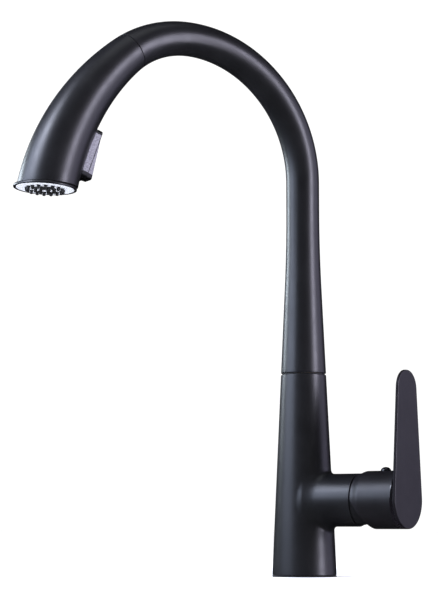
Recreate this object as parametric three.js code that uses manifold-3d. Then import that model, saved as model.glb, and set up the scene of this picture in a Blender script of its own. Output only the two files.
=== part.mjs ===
// Pull-down kitchen faucet with a high arched spout, a side lever and a docked spray head.
//
// Millimetres, +Z up. The origin is the centre of the base on the deck, -Y faces the user and
// the lever hub points along +X. The spout is stored swivelled a little away from the lever.
import * as THREE from 'three';
import { mergeVertices } from 'three/addons/utils/BufferGeometryUtils.js';
import Module from 'manifold-3d';

const wasm = await Module();
wasm.setup();

// ---------------------------------------------------------------- driving dimensions

const GAP = 0.3;                  // clearance between pieces that rest on each other

// Tapered column: a straight cone that eases into the slim tube of the arch.
const BASE_RADIUS = 26.0;
const TAPER = 0.047;              // radius lost per millimetre of height
const TAPER_END = 235.0;          // height where the straight cone ends
const EASE_LENGTH = 60.0;         // height over which the cone eases into the tube
const TUBE_RADIUS = BASE_RADIUS - TAPER * (TAPER_END + EASE_LENGTH / 2);

// Spout centreline, measured by arc length from the deck: a straight riser and three arcs.
const RISER_TOP = 320.6;
const ARCH_RADIUS = 107.6;
const ARCH_SWEEP = THREE.MathUtils.degToRad(90);
const SHOULDER_RADIUS = 88.8;
const SHOULDER_SWEEP = THREE.MathUtils.degToRad(40.3);
const HEAD_CURVE_RADIUS = 199.3;
const HEAD_CURVE_SWEEP = THREE.MathUtils.degToRad(37.9);
const SPOUT_SWIVEL = THREE.MathUtils.degToRad(30);
const CROWN = RISER_TOP + ARCH_RADIUS * ARCH_SWEEP;
const SHOULDER_END = CROWN + SHOULDER_RADIUS * SHOULDER_SWEEP;
const FACE_STATION = SHOULDER_END + HEAD_CURVE_RADIUS * HEAD_CURVE_SWEEP;
const HEAD_SEAM = CROWN + 55.0;
const FLARE_START = CROWN - 10.0;
const FLARE_LENGTH = 220.0;       // arc length over which tube and head swell
const FLARE = 9.8;                // radius gained over that length

// Base, deck and mounting hardware.
const GASKET_TOP = 1.2;
const BODY_BOTTOM = GASKET_TOP + GAP;
const BODY_TOP = 162.4;
const SPOUT_BOTTOM = 163.7;
const DECK_THICKNESS = 30.0;
const WASHER_RADIUS = 27.0;
const NUT_TOP = -DECK_THICKNESS - 6.2;
const NUT_HEIGHT = 10.0;
const CLAMP_SCREW_REACH = 21.0;
const CLAMP_SCREW_RADIUS = 2.0;
const SHANK_BOTTOM = -55.0;
const SHANK_RADIUS = 16.0;
const SHANK_BORE = 13.0;
const SHANK_SOCKET_TOP = 14.0;
const WATERWAY_RADIUS = 13.6;
const SPIGOT_SOCKET_RADIUS = 15.0;
const SPIGOT_SOCKET_FLOOR = 119.4;

// Spout tube and what is pressed into its ends.
const TUBE_WALL = 1.8;
const SPIGOT_RADIUS = 14.4;
const SPIGOT_BORE = 11.2;
const O_RING_HEIGHTS = [128.0, 150.0];
const COLLAR_LENGTH = 16.0;
const COLLAR_BORE = 10.4;
const DOCK_CLEARANCE = 0.8;       // between the curved tube and the pieces pressed into its end
const HOSE_RADIUS = 6.0;
const HOSE_END = HEAD_SEAM - 10.0;

// Lever axis.
const LEVER_HEIGHT = 61.0;
const BRANCH_RADIUS = 21.1;
const BRANCH_END = 50.1;
const PIVOT = 50.4;               // distance of the lift pivot from the column axis
const POCKET_RADIUS = 17.6;
const POCKET_FLOOR = 22.0;
const CARTRIDGE_RADIUS = 17.3;
const CARTRIDGE_SHOULDER = 37.5;
const CARTRIDGE_NECK_END = 45.9;
const CARTRIDGE_BORE = 9.9;
const CAM_RADIUS = 9.6;
const CAM_PIN_RADIUS = 1.5;
const DOME_RADIUS = 20.0;
const DOME_WALL = 1.8;
const DOME_HOLE = 12.8;
const HUB_RADIUS = 23.0;
const HUB_RIM = 0.6;              // hub stations are measured from the pivot
const HUB_SHOULDER = 8.4;
const HUB_BORE = 20.35;
const HUB_BORE_DEPTH = 19.8;
const HUB_END = 39.6;
const BLADE_THICKNESS = 2.6;
const BLADE_TIP = 102.3;          // height of the tip above the lever axis
const BLADE_TAPER = THREE.MathUtils.degToRad(4.9);
const BLADE_TIP_RADIUS = 15.0;
const BLADE_BREADTH = 1.12;       // the blade's breadth over the hub's diameter
const RELIEF_ANGLE = THREE.MathUtils.degToRad(30);
const STEM_HALF = 3.9;           // half the width of the square lever stem
const STEM_LENGTH = 30.0;
const SCREW_STATION = 22.6;
const PLUG_RADIUS = 4.1;
const PLUG_CROWN = 3.0;

// Spray head and its rocker button.
const SHELL_WALL = 2.0;
const SHELL_CUT = 2.6;            // the shell stops this far above the face
const CORE_CLEARANCE = 4.5;
const FACE_TILT = THREE.MathUtils.degToRad(3.5);
const FACE_FORWARD = 1.5;
const BEZEL_RADIUS = 24.4;
const BEZEL_FLOOR = -1.6;
const MAT_RADIUS = 17.2;
const AERATOR_HOLE = 5.2;
const PLATE_RADIUS = 22.3;
const NOZZLE_RING = 13.9;
const NOZZLE_COUNT = 16;
const INNER_NOZZLE_RING = 7.6;
const INNER_NOZZLE_COUNT = 8;
const NOZZLE_RADIUS = 1.5;
const NOZZLE_TIP = 2.8;           // how far the nozzles stand out of the face
const BUTTON_STATION = CROWN + 153.2;
const BUTTON_PIVOT_LIFT = 3.6;    // height of the rocker's pin above the shell
const BUTTON_LENGTH = 41.5;
const BUTTON_WIDTH = 16.4;
const ROCKER_WIDTH = 12.0;
const BUTTON_RIM = 1.2;           // heights on the button are measured from the pin
const BUTTON_FLOOR = -4.0;
const BUTTON_FOOT = -6.2;
const ROCKER_TILT = THREE.MathUtils.degToRad(7.5);
const ROCKER_TOP = -14.6;
const ROCKER_BOTTOM = 19.4;
const ROCKER_BACK = -1.2;
const ROCKER_FACE = 3.9;
const ROCKER_CLEARANCE = 0.5;

// ---------------------------------------------------------------- materials

const finishes = {
  satin_black: new THREE.MeshStandardMaterial({ color: 0x1b1c20, roughness: 0.42, metalness: 0.6 }),
  gloss_black: new THREE.MeshStandardMaterial({ color: 0x0a0a0b, roughness: 0.15, metalness: 0.0 }),
  black_plastic: new THREE.MeshStandardMaterial({ color: 0x131315, roughness: 0.5, metalness: 0.0 }),
  satin_grey: new THREE.MeshStandardMaterial({ color: 0x8e8d93, roughness: 0.4, metalness: 0.5 }),
  white_plastic: new THREE.MeshStandardMaterial({ color: 0xe4e6e6, roughness: 0.3, metalness: 0.0 }),
  face_silver: new THREE.MeshStandardMaterial({ color: 0xc9ccd0, roughness: 0.25, metalness: 0.8 }),
  rubber: new THREE.MeshStandardMaterial({ color: 0x17171a, roughness: 0.8, metalness: 0.0 }),
  brass: new THREE.MeshStandardMaterial({ color: 0xb8924a, roughness: 0.35, metalness: 0.9 }),
  steel: new THREE.MeshStandardMaterial({ color: 0xa8aaad, roughness: 0.3, metalness: 0.9 }),
  braid: new THREE.MeshStandardMaterial({ color: 0x4a4b50, roughness: 0.6, metalness: 0.1 }),
};

// ---------------------------------------------------------------- closed solids

// Keeps positions only, merges shared vertices, drops collapsed triangles and points faces out.
function closed(geometry) {
  const bare = new THREE.BufferGeometry();
  bare.setAttribute('position', geometry.getAttribute('position').clone());
  bare.setIndex(geometry.index ? geometry.index.clone() : null);
  const merged = mergeVertices(bare, 1e-4);
  const corners = merged.index.array;
  const kept = [];
  for (let i = 0; i < corners.length; i += 3) {
    const [a, b, c] = [corners[i], corners[i + 1], corners[i + 2]];
    if (a !== b && b !== c && c !== a) {
      kept.push(a, b, c);
    }
  }
  if (signedVolume(merged.getAttribute('position'), kept) < 0) {
    kept.reverse();
  }
  merged.setIndex(kept);
  return merged;
}

function signedVolume(position, corners) {
  const [a, b, c] = [new THREE.Vector3(), new THREE.Vector3(), new THREE.Vector3()];
  let volume = 0;
  for (let i = 0; i < corners.length; i += 3) {
    a.fromBufferAttribute(position, corners[i]);
    b.fromBufferAttribute(position, corners[i + 1]);
    c.fromBufferAttribute(position, corners[i + 2]);
    volume += a.dot(b.cross(c)) / 6;
  }
  return volume;
}

function toSolid(geometry) {
  const shape = closed(geometry);
  return new wasm.Manifold(new wasm.Mesh({
    numProp: 3,
    vertProperties: new Float32Array(shape.getAttribute('position').array),
    triVerts: new Uint32Array(shape.index.array),
  }));
}

function toGeometry(solid) {
  const mesh = solid.getMesh();
  const geometry = new THREE.BufferGeometry();
  geometry.setAttribute('position', new THREE.BufferAttribute(new Float32Array(mesh.vertProperties), 3));
  geometry.setIndex(new THREE.BufferAttribute(new Uint32Array(mesh.triVerts), 1));
  return closed(geometry);
}

function join(...geometries) {
  return toGeometry(geometries.map(toSolid).reduce((whole, next) => whole.add(next)));
}

function cut(geometry, ...tools) {
  return toGeometry(tools.map(toSolid).reduce((rest, tool) => rest.subtract(tool), toSolid(geometry)));
}

function piece(name, geometry, finish) {
  const mesh = new THREE.Mesh(closed(geometry), finishes[finish]);
  mesh.name = name;
  return mesh;
}

// ---------------------------------------------------------------- shape helpers

// Turns a profile of [radius, height] pairs about Z. A profile that doesn't touch the axis at both
// ends is closed on itself.
function turned(profile, sides) {
  const points = profile.map(([radius, height]) => new THREE.Vector2(radius, height));
  const touchesAxis = profile[0][0] === 0 && profile.at(-1)[0] === 0;
  if (!touchesAxis) {
    points.push(points[0].clone());
  }
  return new THREE.LatheGeometry(points, sides).rotateX(Math.PI / 2);
}

function ring(inner, outer, low, high, sides) {
  return turned([[inner, low], [outer, low], [outer, high], [inner, high]], sides);
}

function rod(radius, low, high, sides) {
  return turned([[0, low], [radius, low], [radius, high], [0, high]], sides);
}

// A shape turned about Z, laid along +X with its height measured from the column axis.
function alongX(geometry) {
  return geometry.rotateY(Math.PI / 2);
}

function block(low, high) {
  const size = high.map((value, axis) => value - low[axis]);
  const middle = high.map((value, axis) => (value + low[axis]) / 2);
  return new THREE.BoxGeometry(...size).translate(...middle);
}

function roundedRectangle(left, right, halfWidth, corner) {
  const shape = new THREE.Shape();
  shape.moveTo(left + corner, -halfWidth);
  shape.lineTo(right - corner, -halfWidth);
  shape.absarc(right - corner, -halfWidth + corner, corner, -Math.PI / 2, 0, false);
  shape.absarc(right - corner, halfWidth - corner, corner, 0, Math.PI / 2, false);
  shape.absarc(left + corner, halfWidth - corner, corner, Math.PI / 2, Math.PI, false);
  shape.absarc(left + corner, -halfWidth + corner, corner, Math.PI, Math.PI * 1.5, false);
  return shape;
}

// A plate with rounded corners and a small bevel on both faces, between two heights.
function plate(left, right, halfWidth, corner, low, high, bevel) {
  const outline = roundedRectangle(left + bevel, right - bevel, halfWidth - bevel, corner);
  return new THREE.ExtrudeGeometry(outline, {
    depth: high - low - 2 * bevel,
    bevelEnabled: bevel > 0,
    bevelThickness: bevel,
    bevelSize: bevel,
    bevelSegments: 1,
    curveSegments: 3,
  }).translate(0, 0, low + bevel);
}

// ---------------------------------------------------------------- spout centreline

// Position and downward slope of the centreline at an arc length from the deck, in the XZ plane.
function spine(station) {
  if (station <= RISER_TOP) {
    return { x: 0, z: station, slope: -Math.PI / 2 };
  }
  if (station <= CROWN) {
    const turn = (station - RISER_TOP) / ARCH_RADIUS;
    return {
      x: ARCH_RADIUS * (1 - Math.cos(turn)),
      z: RISER_TOP + ARCH_RADIUS * Math.sin(turn),
      slope: turn - Math.PI / 2,
    };
  }
  if (station <= SHOULDER_END) {
    const turn = (station - CROWN) / SHOULDER_RADIUS;
    return {
      x: ARCH_RADIUS + SHOULDER_RADIUS * Math.sin(turn),
      z: RISER_TOP + ARCH_RADIUS - SHOULDER_RADIUS * (1 - Math.cos(turn)),
      slope: turn,
    };
  }
  const start = spine(SHOULDER_END);
  const turn = SHOULDER_SWEEP + (station - SHOULDER_END) / HEAD_CURVE_RADIUS;
  return {
    x: start.x + HEAD_CURVE_RADIUS * (Math.sin(turn) - Math.sin(SHOULDER_SWEEP)),
    z: start.z + HEAD_CURVE_RADIUS * (Math.cos(turn) - Math.cos(SHOULDER_SWEEP)),
    slope: turn,
  };
}

// Outside radius of the column, arch and head at an arc length from the deck.
function skinRadius(station) {
  if (station <= TAPER_END) {
    return BASE_RADIUS - TAPER * station;
  }
  if (station <= TAPER_END + EASE_LENGTH) {
    const past = station - TAPER_END;
    return BASE_RADIUS - TAPER * station + TAPER * past * past / (2 * EASE_LENGTH);
  }
  const swell = THREE.MathUtils.clamp((station - FLARE_START) / FLARE_LENGTH, 0, 1);
  return TUBE_RADIUS + FLARE * (1 - Math.cos(Math.PI * swell)) / 2;
}

// Bends a shape turned about Z so that its height runs along the centreline.
function bent(geometry) {
  const position = geometry.getAttribute('position');
  for (let i = 0; i < position.count; i += 1) {
    const { x, z, slope } = spine(position.getZ(i));
    const side = position.getX(i);
    position.setX(i, x + side * Math.sin(slope));
    position.setZ(i, z + side * Math.cos(slope));
    position.setY(i, -position.getY(i));
  }
  return geometry;
}

function stations(from, to, spacing) {
  const steps = Math.ceil((to - from) / spacing);
  return Array.from({ length: steps + 1 }, (_, i) => from + (to - from) * i / steps);
}

// A bent tube whose outside and inside radii are functions of the station.
function bentTube(from, to, outer, inner, spacing, sides) {
  const along = stations(from, to, spacing);
  const outside = along.map((station) => [outer(station), station]);
  const inside = along.map((station) => [inner(station), station]).reverse();
  return bent(turned([...outside, ...inside], sides));
}

function bentRod(from, to, radius, spacing, sides) {
  const along = stations(from, to, spacing).map((station) => [radius(station), station]);
  return bent(turned([[0, from], ...along, [0, to]], sides));
}

// Directions at a station: forward along the centreline, and inward to the inside of the arch. The
// origin is lifted off the centreline towards the inside, and extra turns both directions further.
function directions(station, lift, extra) {
  const { x, z, slope } = spine(station);
  const forward = new THREE.Vector3(Math.cos(slope + extra), 0, -Math.sin(slope + extra));
  const inward = new THREE.Vector3(-Math.sin(slope + extra), 0, -Math.cos(slope + extra));
  const origin = new THREE.Vector3(x, 0, z).addScaledVector(inward, lift);
  return { forward, inward, origin };
}

// A group at a station whose +Z is one direction and whose +X is another.
function groupWith(origin, xAxis, zAxis) {
  const group = new THREE.Group();
  const yAxis = new THREE.Vector3().crossVectors(zAxis, xAxis);
  group.matrix.makeBasis(xAxis, yAxis, zAxis).setPosition(origin);
  group.matrix.decompose(group.position, group.quaternion, group.scale);
  return group;
}

// Group of the head's straight neck: +Z leaves the dock.
function neckGroup() {
  const { forward, inward, origin } = directions(HEAD_SEAM, 0, 0);
  return groupWith(origin, inward, forward);
}

// Group of the spray face: +Z leaves the face, which is nearly level.
function faceGroup() {
  const { slope } = spine(FACE_STATION);
  const { forward, inward, origin } = directions(FACE_STATION, 0, Math.PI / 2 - FACE_TILT - slope);
  origin.x += FACE_FORWARD;
  return groupWith(origin, inward, forward);
}

// Group of the button: +X runs down the head, +Z stands off the shell and z = 0 is the rocker's pin.
function buttonGroup() {
  const growth = (skinRadius(BUTTON_STATION + 1) - skinRadius(BUTTON_STATION - 1)) / 2;
  const lift = skinRadius(BUTTON_STATION) + BUTTON_PIVOT_LIFT;
  const { origin } = directions(BUTTON_STATION, lift, 0);
  const { forward, inward } = directions(BUTTON_STATION, lift, Math.atan(growth));
  return groupWith(origin, forward, inward);
}

function placed(geometry, group) {
  group.updateMatrix();
  return geometry.applyMatrix4(group.matrix);
}

function unplaced(geometry, group) {
  group.updateMatrix();
  return geometry.applyMatrix4(group.matrix.clone().invert());
}

// ---------------------------------------------------------------- base and mounting hardware

function baseGasket() {
  return piece('base_gasket', ring(SHANK_RADIUS + 1.5, BASE_RADIUS - 1, 0, GASKET_TOP, 32), 'rubber');
}

function bodyCasting() {
  const sides = 40;
  const foot = 0.8;
  const column = turned([
    [0, BODY_BOTTOM],
    [skinRadius(BODY_BOTTOM) - foot, BODY_BOTTOM],
    [skinRadius(BODY_BOTTOM + foot), BODY_BOTTOM + foot],
    [skinRadius(BODY_TOP - GAP), BODY_TOP - GAP],
    [skinRadius(BODY_TOP) - GAP, BODY_TOP],
    [0, BODY_TOP],
  ], sides);
  const flare = 3.0;
  const root = skinRadius(LEVER_HEIGHT);
  const branch = alongX(turned([
    [0, 0],
    [BRANCH_RADIUS, 0],
    [BRANCH_RADIUS + flare * 0.6, root - flare * 0.6],
    [BRANCH_RADIUS + flare * 0.2, root + flare * 0.4],
    [BRANCH_RADIUS, root + flare * 1.2],
    [BRANCH_RADIUS, BRANCH_END - GAP],
    [BRANCH_RADIUS - GAP, BRANCH_END],
    [0, BRANCH_END],
  ], sides)).translate(0, 0, LEVER_HEIGHT);
  const bore = turned([
    [0, 0],
    [SHANK_RADIUS + GAP, 0],
    [SHANK_RADIUS + GAP, SHANK_SOCKET_TOP],
    [WATERWAY_RADIUS, SHANK_SOCKET_TOP],
    [WATERWAY_RADIUS, SPIGOT_SOCKET_FLOOR - 1.4],
    [SPIGOT_SOCKET_RADIUS, SPIGOT_SOCKET_FLOOR],
    [SPIGOT_SOCKET_RADIUS, BODY_TOP + 1],
    [0, BODY_TOP + 1],
  ], 24);
  const pocket = alongX(rod(POCKET_RADIUS, POCKET_FLOOR, BRANCH_END + 1, 24)).translate(0, 0, LEVER_HEIGHT);
  const ports = [[-6, -4], [6, -4], [0, 7]].map(([y, z]) => (
    alongX(rod(2.6, 5, POCKET_FLOOR + 1, 8)).translate(0, y, LEVER_HEIGHT + z)
  ));
  return piece('body_casting', cut(join(column, branch), bore, pocket, ...ports), 'satin_black');
}

function mountingShank() {
  const shape = ring(SHANK_BORE, SHANK_RADIUS, SHANK_BOTTOM, SHANK_SOCKET_TOP - GAP, 24);
  return piece('mounting_shank', shape, 'brass');
}

function deckWashers() {
  const bore = SHANK_RADIUS + 0.6;
  const top = -DECK_THICKNESS;
  return [
    piece('deck_rubber_washer', ring(bore, WASHER_RADIUS, top - 3, top, 24), 'rubber'),
    piece('deck_steel_washer', ring(bore, WASHER_RADIUS, top - 3 - GAP - 2, top - 3 - GAP, 24), 'steel'),
  ];
}

function mountingNut() {
  const hexagon = rod(26, NUT_TOP - NUT_HEIGHT, NUT_TOP, 6);
  const bore = rod(SHANK_RADIUS + GAP, NUT_TOP - NUT_HEIGHT - 1, NUT_TOP + 1, 24);
  const screwHoles = [-1, 1].map((side) => (
    rod(CLAMP_SCREW_RADIUS + GAP, NUT_TOP - NUT_HEIGHT - 1, NUT_TOP + 1, 8)
      .translate(side * CLAMP_SCREW_REACH, 0, 0)
  ));
  return piece('mounting_nut', cut(hexagon, bore, ...screwHoles), 'brass');
}

function clampScrews() {
  const low = NUT_TOP - NUT_HEIGHT - 4;
  return [-1, 1].map((side, i) => {
    const screw = turned([
      [0, low - 3], [3.8, low - 3], [4.2, low - 2.6], [4.2, low],
      [CLAMP_SCREW_RADIUS, low], [CLAMP_SCREW_RADIUS, NUT_TOP + 0.4], [0, NUT_TOP + 0.4],
    ], 12);
    const slot = block([-0.6, -5, low - 4], [0.6, 5, low - 1.8]);
    const shape = cut(screw, slot).translate(side * CLAMP_SCREW_REACH, 0, 0);
    return piece(`clamp_screw_${i + 1}`, shape, 'steel');
  });
}

// ---------------------------------------------------------------- lever valve

function cartridgeBody() {
  const shape = alongX(turned([
    [0, POCKET_FLOOR + GAP],
    [CARTRIDGE_RADIUS, POCKET_FLOOR + GAP],
    [CARTRIDGE_RADIUS, CARTRIDGE_SHOULDER],
    [13.2, CARTRIDGE_SHOULDER],
    [13.2, CARTRIDGE_NECK_END - 0.5],
    [12.7, CARTRIDGE_NECK_END],
    [CARTRIDGE_BORE, CARTRIDGE_NECK_END],
    [CARTRIDGE_BORE, 29.7],
    [0, 29.7],
  ], 20));
  return piece('valve_cartridge', shape, 'white_plastic');
}

function cartridgeNut() {
  const blank = alongX(ring(13.5, CARTRIDGE_RADIUS, CARTRIDGE_SHOULDER + GAP, 43, 20));
  const slots = [0, 1].map((turn) => (
    block([41, -20, -1.5], [44, 20, 1.5]).rotateX(turn * Math.PI / 2)
  ));
  return piece('cartridge_nut', cut(blank, ...slots), 'brass');
}

// Spherical trim cap, concentric with the lift pivot so that the hub can tilt over it.
function domeCap() {
  const outer = arcProfile(DOME_RADIUS, Math.asin(DOME_HOLE / DOME_RADIUS), Math.PI / 2, 6);
  const hollow = DOME_RADIUS - DOME_WALL;
  const inner = arcProfile(hollow, Math.asin(DOME_HOLE / hollow), Math.PI / 2, 4);
  const skirt = [
    [CARTRIDGE_RADIUS, PIVOT],
    [CARTRIDGE_RADIUS, 43 + GAP],
    [CARTRIDGE_RADIUS - DOME_WALL, 43 + GAP],
    [CARTRIDGE_RADIUS - DOME_WALL, PIVOT - 1],
  ];
  return piece('dome_cap', alongX(turned([...outer, ...skirt, ...inner.reverse()], 28)), 'satin_black');
}

// Points on a circle about the pivot, from one angle off the lever axis to another.
function arcProfile(radius, from, to, steps) {
  return Array.from({ length: steps + 1 }, (_, i) => {
    const angle = from + (to - from) * i / steps;
    return [radius * Math.sin(angle), PIVOT + radius * Math.cos(angle)];
  });
}

function cartridgeCam() {
  const core = alongX(rod(CAM_RADIUS, 30, PIVOT + 3.5, 20));
  const half = STEM_HALF + GAP;
  const slot = block([36, -half, -12], [56, half, 12]);
  const pinHole = rod(CAM_PIN_RADIUS + GAP, -12, 12, 10).rotateX(Math.PI / 2).translate(PIVOT, 0, 0);
  return piece('cartridge_cam', cut(core, slot, pinHole), 'white_plastic');
}

function camPin() {
  const shape = rod(CAM_PIN_RADIUS, -9.2, 9.2, 10).rotateX(Math.PI / 2).translate(PIVOT, 0, 0);
  return piece('cam_pin', shape, 'steel');
}

function leverStem() {
  const bar = block([PIVOT - 10.5, -STEM_HALF, -STEM_HALF], [PIVOT + STEM_LENGTH, STEM_HALF, STEM_HALF]);
  const pinHole = rod(CAM_PIN_RADIUS + GAP, -12, 12, 10).rotateX(Math.PI / 2).translate(PIVOT, 0, 0);
  return piece('lever_stem', cut(bar, pinHole), 'steel');
}

// Leaf-shaped plate: the hub's circle, two straight sides and a rounded tip.
function bladeOutline(inset) {
  const circle = HUB_RADIUS - inset;
  const corner = BLADE_TIP_RADIUS - inset;
  const tip = BLADE_TIP - inset;
  const cornerHeight = tip - corner;
  const reach = (HUB_RADIUS / Math.cos(BLADE_TAPER)) - cornerHeight * Math.tan(BLADE_TAPER);
  const cornerCentre = reach - BLADE_TIP_RADIUS / Math.cos(BLADE_TAPER);
  const shape = new THREE.Shape();
  shape.absarc(0, 0, circle, Math.PI - BLADE_TAPER, BLADE_TAPER, false);
  shape.absarc(cornerCentre, cornerHeight, corner, BLADE_TAPER, Math.PI / 2, false);
  shape.absarc(-cornerCentre, cornerHeight, corner, Math.PI / 2, Math.PI - BLADE_TAPER, false);
  return shape;
}

function leverHandle() {
  const shoulder = Array.from({ length: 5 }, (_, i) => {
    const part = i / 4;
    const rise = (1 - Math.cos(Math.PI * part)) / 2;
    return [
      BRANCH_RADIUS + (HUB_RADIUS - BRANCH_RADIUS) * rise,
      HUB_RIM + GAP + (HUB_SHOULDER - HUB_RIM - GAP) * part,
    ];
  });
  const hub = alongX(turned([
    [0, HUB_BORE_DEPTH], [HUB_BORE, HUB_BORE_DEPTH], [HUB_BORE, HUB_RIM], [BRANCH_RADIUS - GAP, HUB_RIM],
    ...shoulder, [HUB_RADIUS, HUB_END + 1], [0, HUB_END + 1],
  ], 36));
  const bevel = 0.6;
  const blade = new THREE.ExtrudeGeometry(bladeOutline(bevel), {
    depth: BLADE_THICKNESS - 2 * bevel,
    bevelThickness: bevel,
    bevelSize: bevel,
    bevelSegments: 1,
    curveSegments: 9,
  }).scale(BLADE_BREADTH, 1, 1).translate(0, 0, HUB_END + bevel);
  blade.applyMatrix4(new THREE.Matrix4().makeBasis(
    new THREE.Vector3(0, 1, 0),
    new THREE.Vector3(0, 0, 1),
    new THREE.Vector3(1, 0, 0),
  ));
  const notch = alongX(new THREE.TorusGeometry(HUB_RADIUS + 0.4, 1.7, 8, 30))
    .translate(HUB_END - 1.7, 0, -2.2);
  const half = STEM_HALF + GAP;
  const socket = block([10, -half, -half], [STEM_LENGTH + 1, half, half]);
  const screwHole = rod(2.6, 0, 20, 10).translate(SCREW_STATION, 0, 0);
  const plugSeat = rod(PLUG_RADIUS + 0.2, 17, 30, 16).translate(SCREW_STATION, 0, 0);
  const relief = block([-20, -30, -40], [0, 30, 0])
    .rotateY(-RELIEF_ANGLE)
    .translate(HUB_RIM, 0, 0);
  const shape = cut(join(hub, blade), notch, socket, screwHole, plugSeat, relief);
  return piece('lever_handle', shape.translate(PIVOT, 0, 0), 'satin_black');
}

function setScrew() {
  const low = STEM_HALF + GAP;
  const shank = rod(2.3, low, low + 9, 10);
  const hexagon = rod(1.3, low + 6, low + 10, 6);
  return piece('set_screw', cut(shank, hexagon).translate(PIVOT + SCREW_STATION, 0, 0), 'steel');
}

function screwPlug() {
  const shoulder = HUB_RADIUS - 0.1;
  const dome = Array.from({ length: 5 }, (_, i) => {
    const angle = Math.PI / 2 * i / 4;
    return [i === 4 ? 0 : PLUG_RADIUS * Math.cos(angle), shoulder + PLUG_CROWN * Math.sin(angle)];
  });
  const shape = turned([[0, 17 + GAP], [PLUG_RADIUS, 17 + GAP], ...dome], 16);
  return piece('screw_plug', shape.translate(PIVOT + SCREW_STATION, 0, 0), 'gloss_black');
}

// ---------------------------------------------------------------- spout

function spoutTube() {
  const inner = (station) => skinRadius(station) - TUBE_WALL;
  const shape = bentTube(SPOUT_BOTTOM, HEAD_SEAM - GAP / 2, skinRadius, inner, 18, 22);
  return piece('spout_tube', shape, 'satin_black');
}

function spoutSpigot() {
  const groove = 1.2;
  const grooveFloor = SPIGOT_RADIUS - 1.6;
  const outside = O_RING_HEIGHTS.flatMap((height) => [
    [SPIGOT_RADIUS, height - groove],
    [grooveFloor, height - groove],
    [grooveFloor, height + groove],
    [SPIGOT_RADIUS, height + groove],
  ]);
  const shape = turned([
    [SPIGOT_BORE, 120],
    [SPIGOT_RADIUS - 0.4, 120],
    [SPIGOT_RADIUS, 120.4],
    ...outside,
    [SPIGOT_RADIUS, BODY_TOP + 2],
    [15.2, BODY_TOP + 2],
    [15.2, 180],
    [SPIGOT_BORE, 180],
  ], 20);
  return piece('spout_spigot', shape, 'brass');
}

function spoutSeals() {
  return O_RING_HEIGHTS.map((height, i) => {
    const shape = new THREE.TorusGeometry(SPIGOT_RADIUS - 0.45, 0.85, 5, 20).translate(0, 0, height);
    return piece(`spout_o_ring_${i + 1}`, shape, 'rubber');
  });
}

function glideRing() {
  const shape = ring(SPIGOT_RADIUS + 0.4, 17.3, BODY_TOP + GAP, SPOUT_BOTTOM - GAP, 28);
  return piece('spout_glide_ring', shape, 'black_plastic');
}

function dock() {
  const fit = (station) => skinRadius(station) - TUBE_WALL - DOCK_CLEARANCE;
  const collarStart = HEAD_SEAM - COLLAR_LENGTH;
  const collar = bentTube(collarStart, HEAD_SEAM - GAP / 2, fit, () => COLLAR_BORE, 8, 20);
  const magnet = bentTube(collarStart - 5, collarStart - GAP, fit, () => 8.2, 5, 20);
  return [piece('dock_collar', collar, 'black_plastic'), piece('dock_magnet', magnet, 'steel')];
}

function pulloutHose() {
  const shape = bentRod(SHANK_BOTTOM + 1, HOSE_END, () => HOSE_RADIUS, 22, 8);
  return piece('pullout_hose', shape, 'braid');
}

// ---------------------------------------------------------------- spray head

// Swivelling union that screws on the hose end and sits in the head's neck.
function hoseUnion() {
  const start = HOSE_END + 1.2 - HEAD_SEAM;
  const shape = turned([
    [0, start], [6.0, start], [6.0, -3.4], [7.2, -3.0], [7.2, 3.0],
    [6.0, 4.0], [6.0, 9.0], [5.4, 9.6], [0, 9.6],
  ], 14);
  return piece('hose_union', shape, 'brass');
}

// Neck that seats in the dock collar, with a flange held inside the shell.
function headNeck() {
  const shape = turned([
    [7.6, -9], [9.0, -9], [9.8, -0.4], [9.8, 0.6], [12.4, 0.6],
    [12.4, 4], [11.0, 5.6], [11.0, 14], [7.6, 14],
  ], 20);
  return piece('head_neck', shape, 'black_plastic');
}

function headShell() {
  const inner = (station) => skinRadius(station) - SHELL_WALL;
  const tube = bentTube(HEAD_SEAM + GAP / 2, FACE_STATION + 12, skinRadius, inner, 14, 28);
  const below = placed(block([-60, -60, -SHELL_CUT], [60, 60, 60]), faceGroup());
  const window = placed(plate(-19.0, 19.8, 7.5, 2.5, -12, 12, 0), buttonGroup());
  return piece('head_shell', cut(tube, below, window), 'satin_black');
}

function headCore() {
  const outer = (station) => skinRadius(station) - CORE_CLEARANCE;
  const shape = bentTube(HEAD_SEAM + 17, FACE_STATION - 13, outer, () => HOSE_RADIUS, 16, 14);
  return piece('head_core', shape, 'black_plastic');
}

function bezelRing() {
  const back = GAP - SHELL_CUT;
  const shape = turned([
    [MAT_RADIUS + 0.4, -7],
    [MAT_RADIUS + 1.2, -7],
    [MAT_RADIUS + 1.2, back],
    [BEZEL_RADIUS - 1.2, back],
    [BEZEL_RADIUS, back + 0.9],
    [BEZEL_RADIUS, -0.6],
    [BEZEL_RADIUS - 0.5, 0],
    [PLATE_RADIUS + 0.6, 0],
    [PLATE_RADIUS + GAP, -0.4],
    [PLATE_RADIUS + GAP, BEZEL_FLOOR],
    [MAT_RADIUS + 0.4, BEZEL_FLOOR],
  ], 32);
  return piece('face_bezel', shape, 'satin_black');
}

function nozzleCentres() {
  const rings = [[NOZZLE_RING, NOZZLE_COUNT], [INNER_NOZZLE_RING, INNER_NOZZLE_COUNT]];
  return rings.flatMap(([radius, count]) => (
    Array.from({ length: count }, (_, i) => {
      const angle = 2 * Math.PI * i / count;
      return [radius * Math.cos(angle), radius * Math.sin(angle)];
    })
  ));
}

function circlePoints(x, y, radius, count) {
  return Array.from({ length: count }, (_, i) => {
    const angle = 2 * Math.PI * i / count;
    return new THREE.Vector2(x + radius * Math.cos(angle), y + radius * Math.sin(angle));
  });
}

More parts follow.
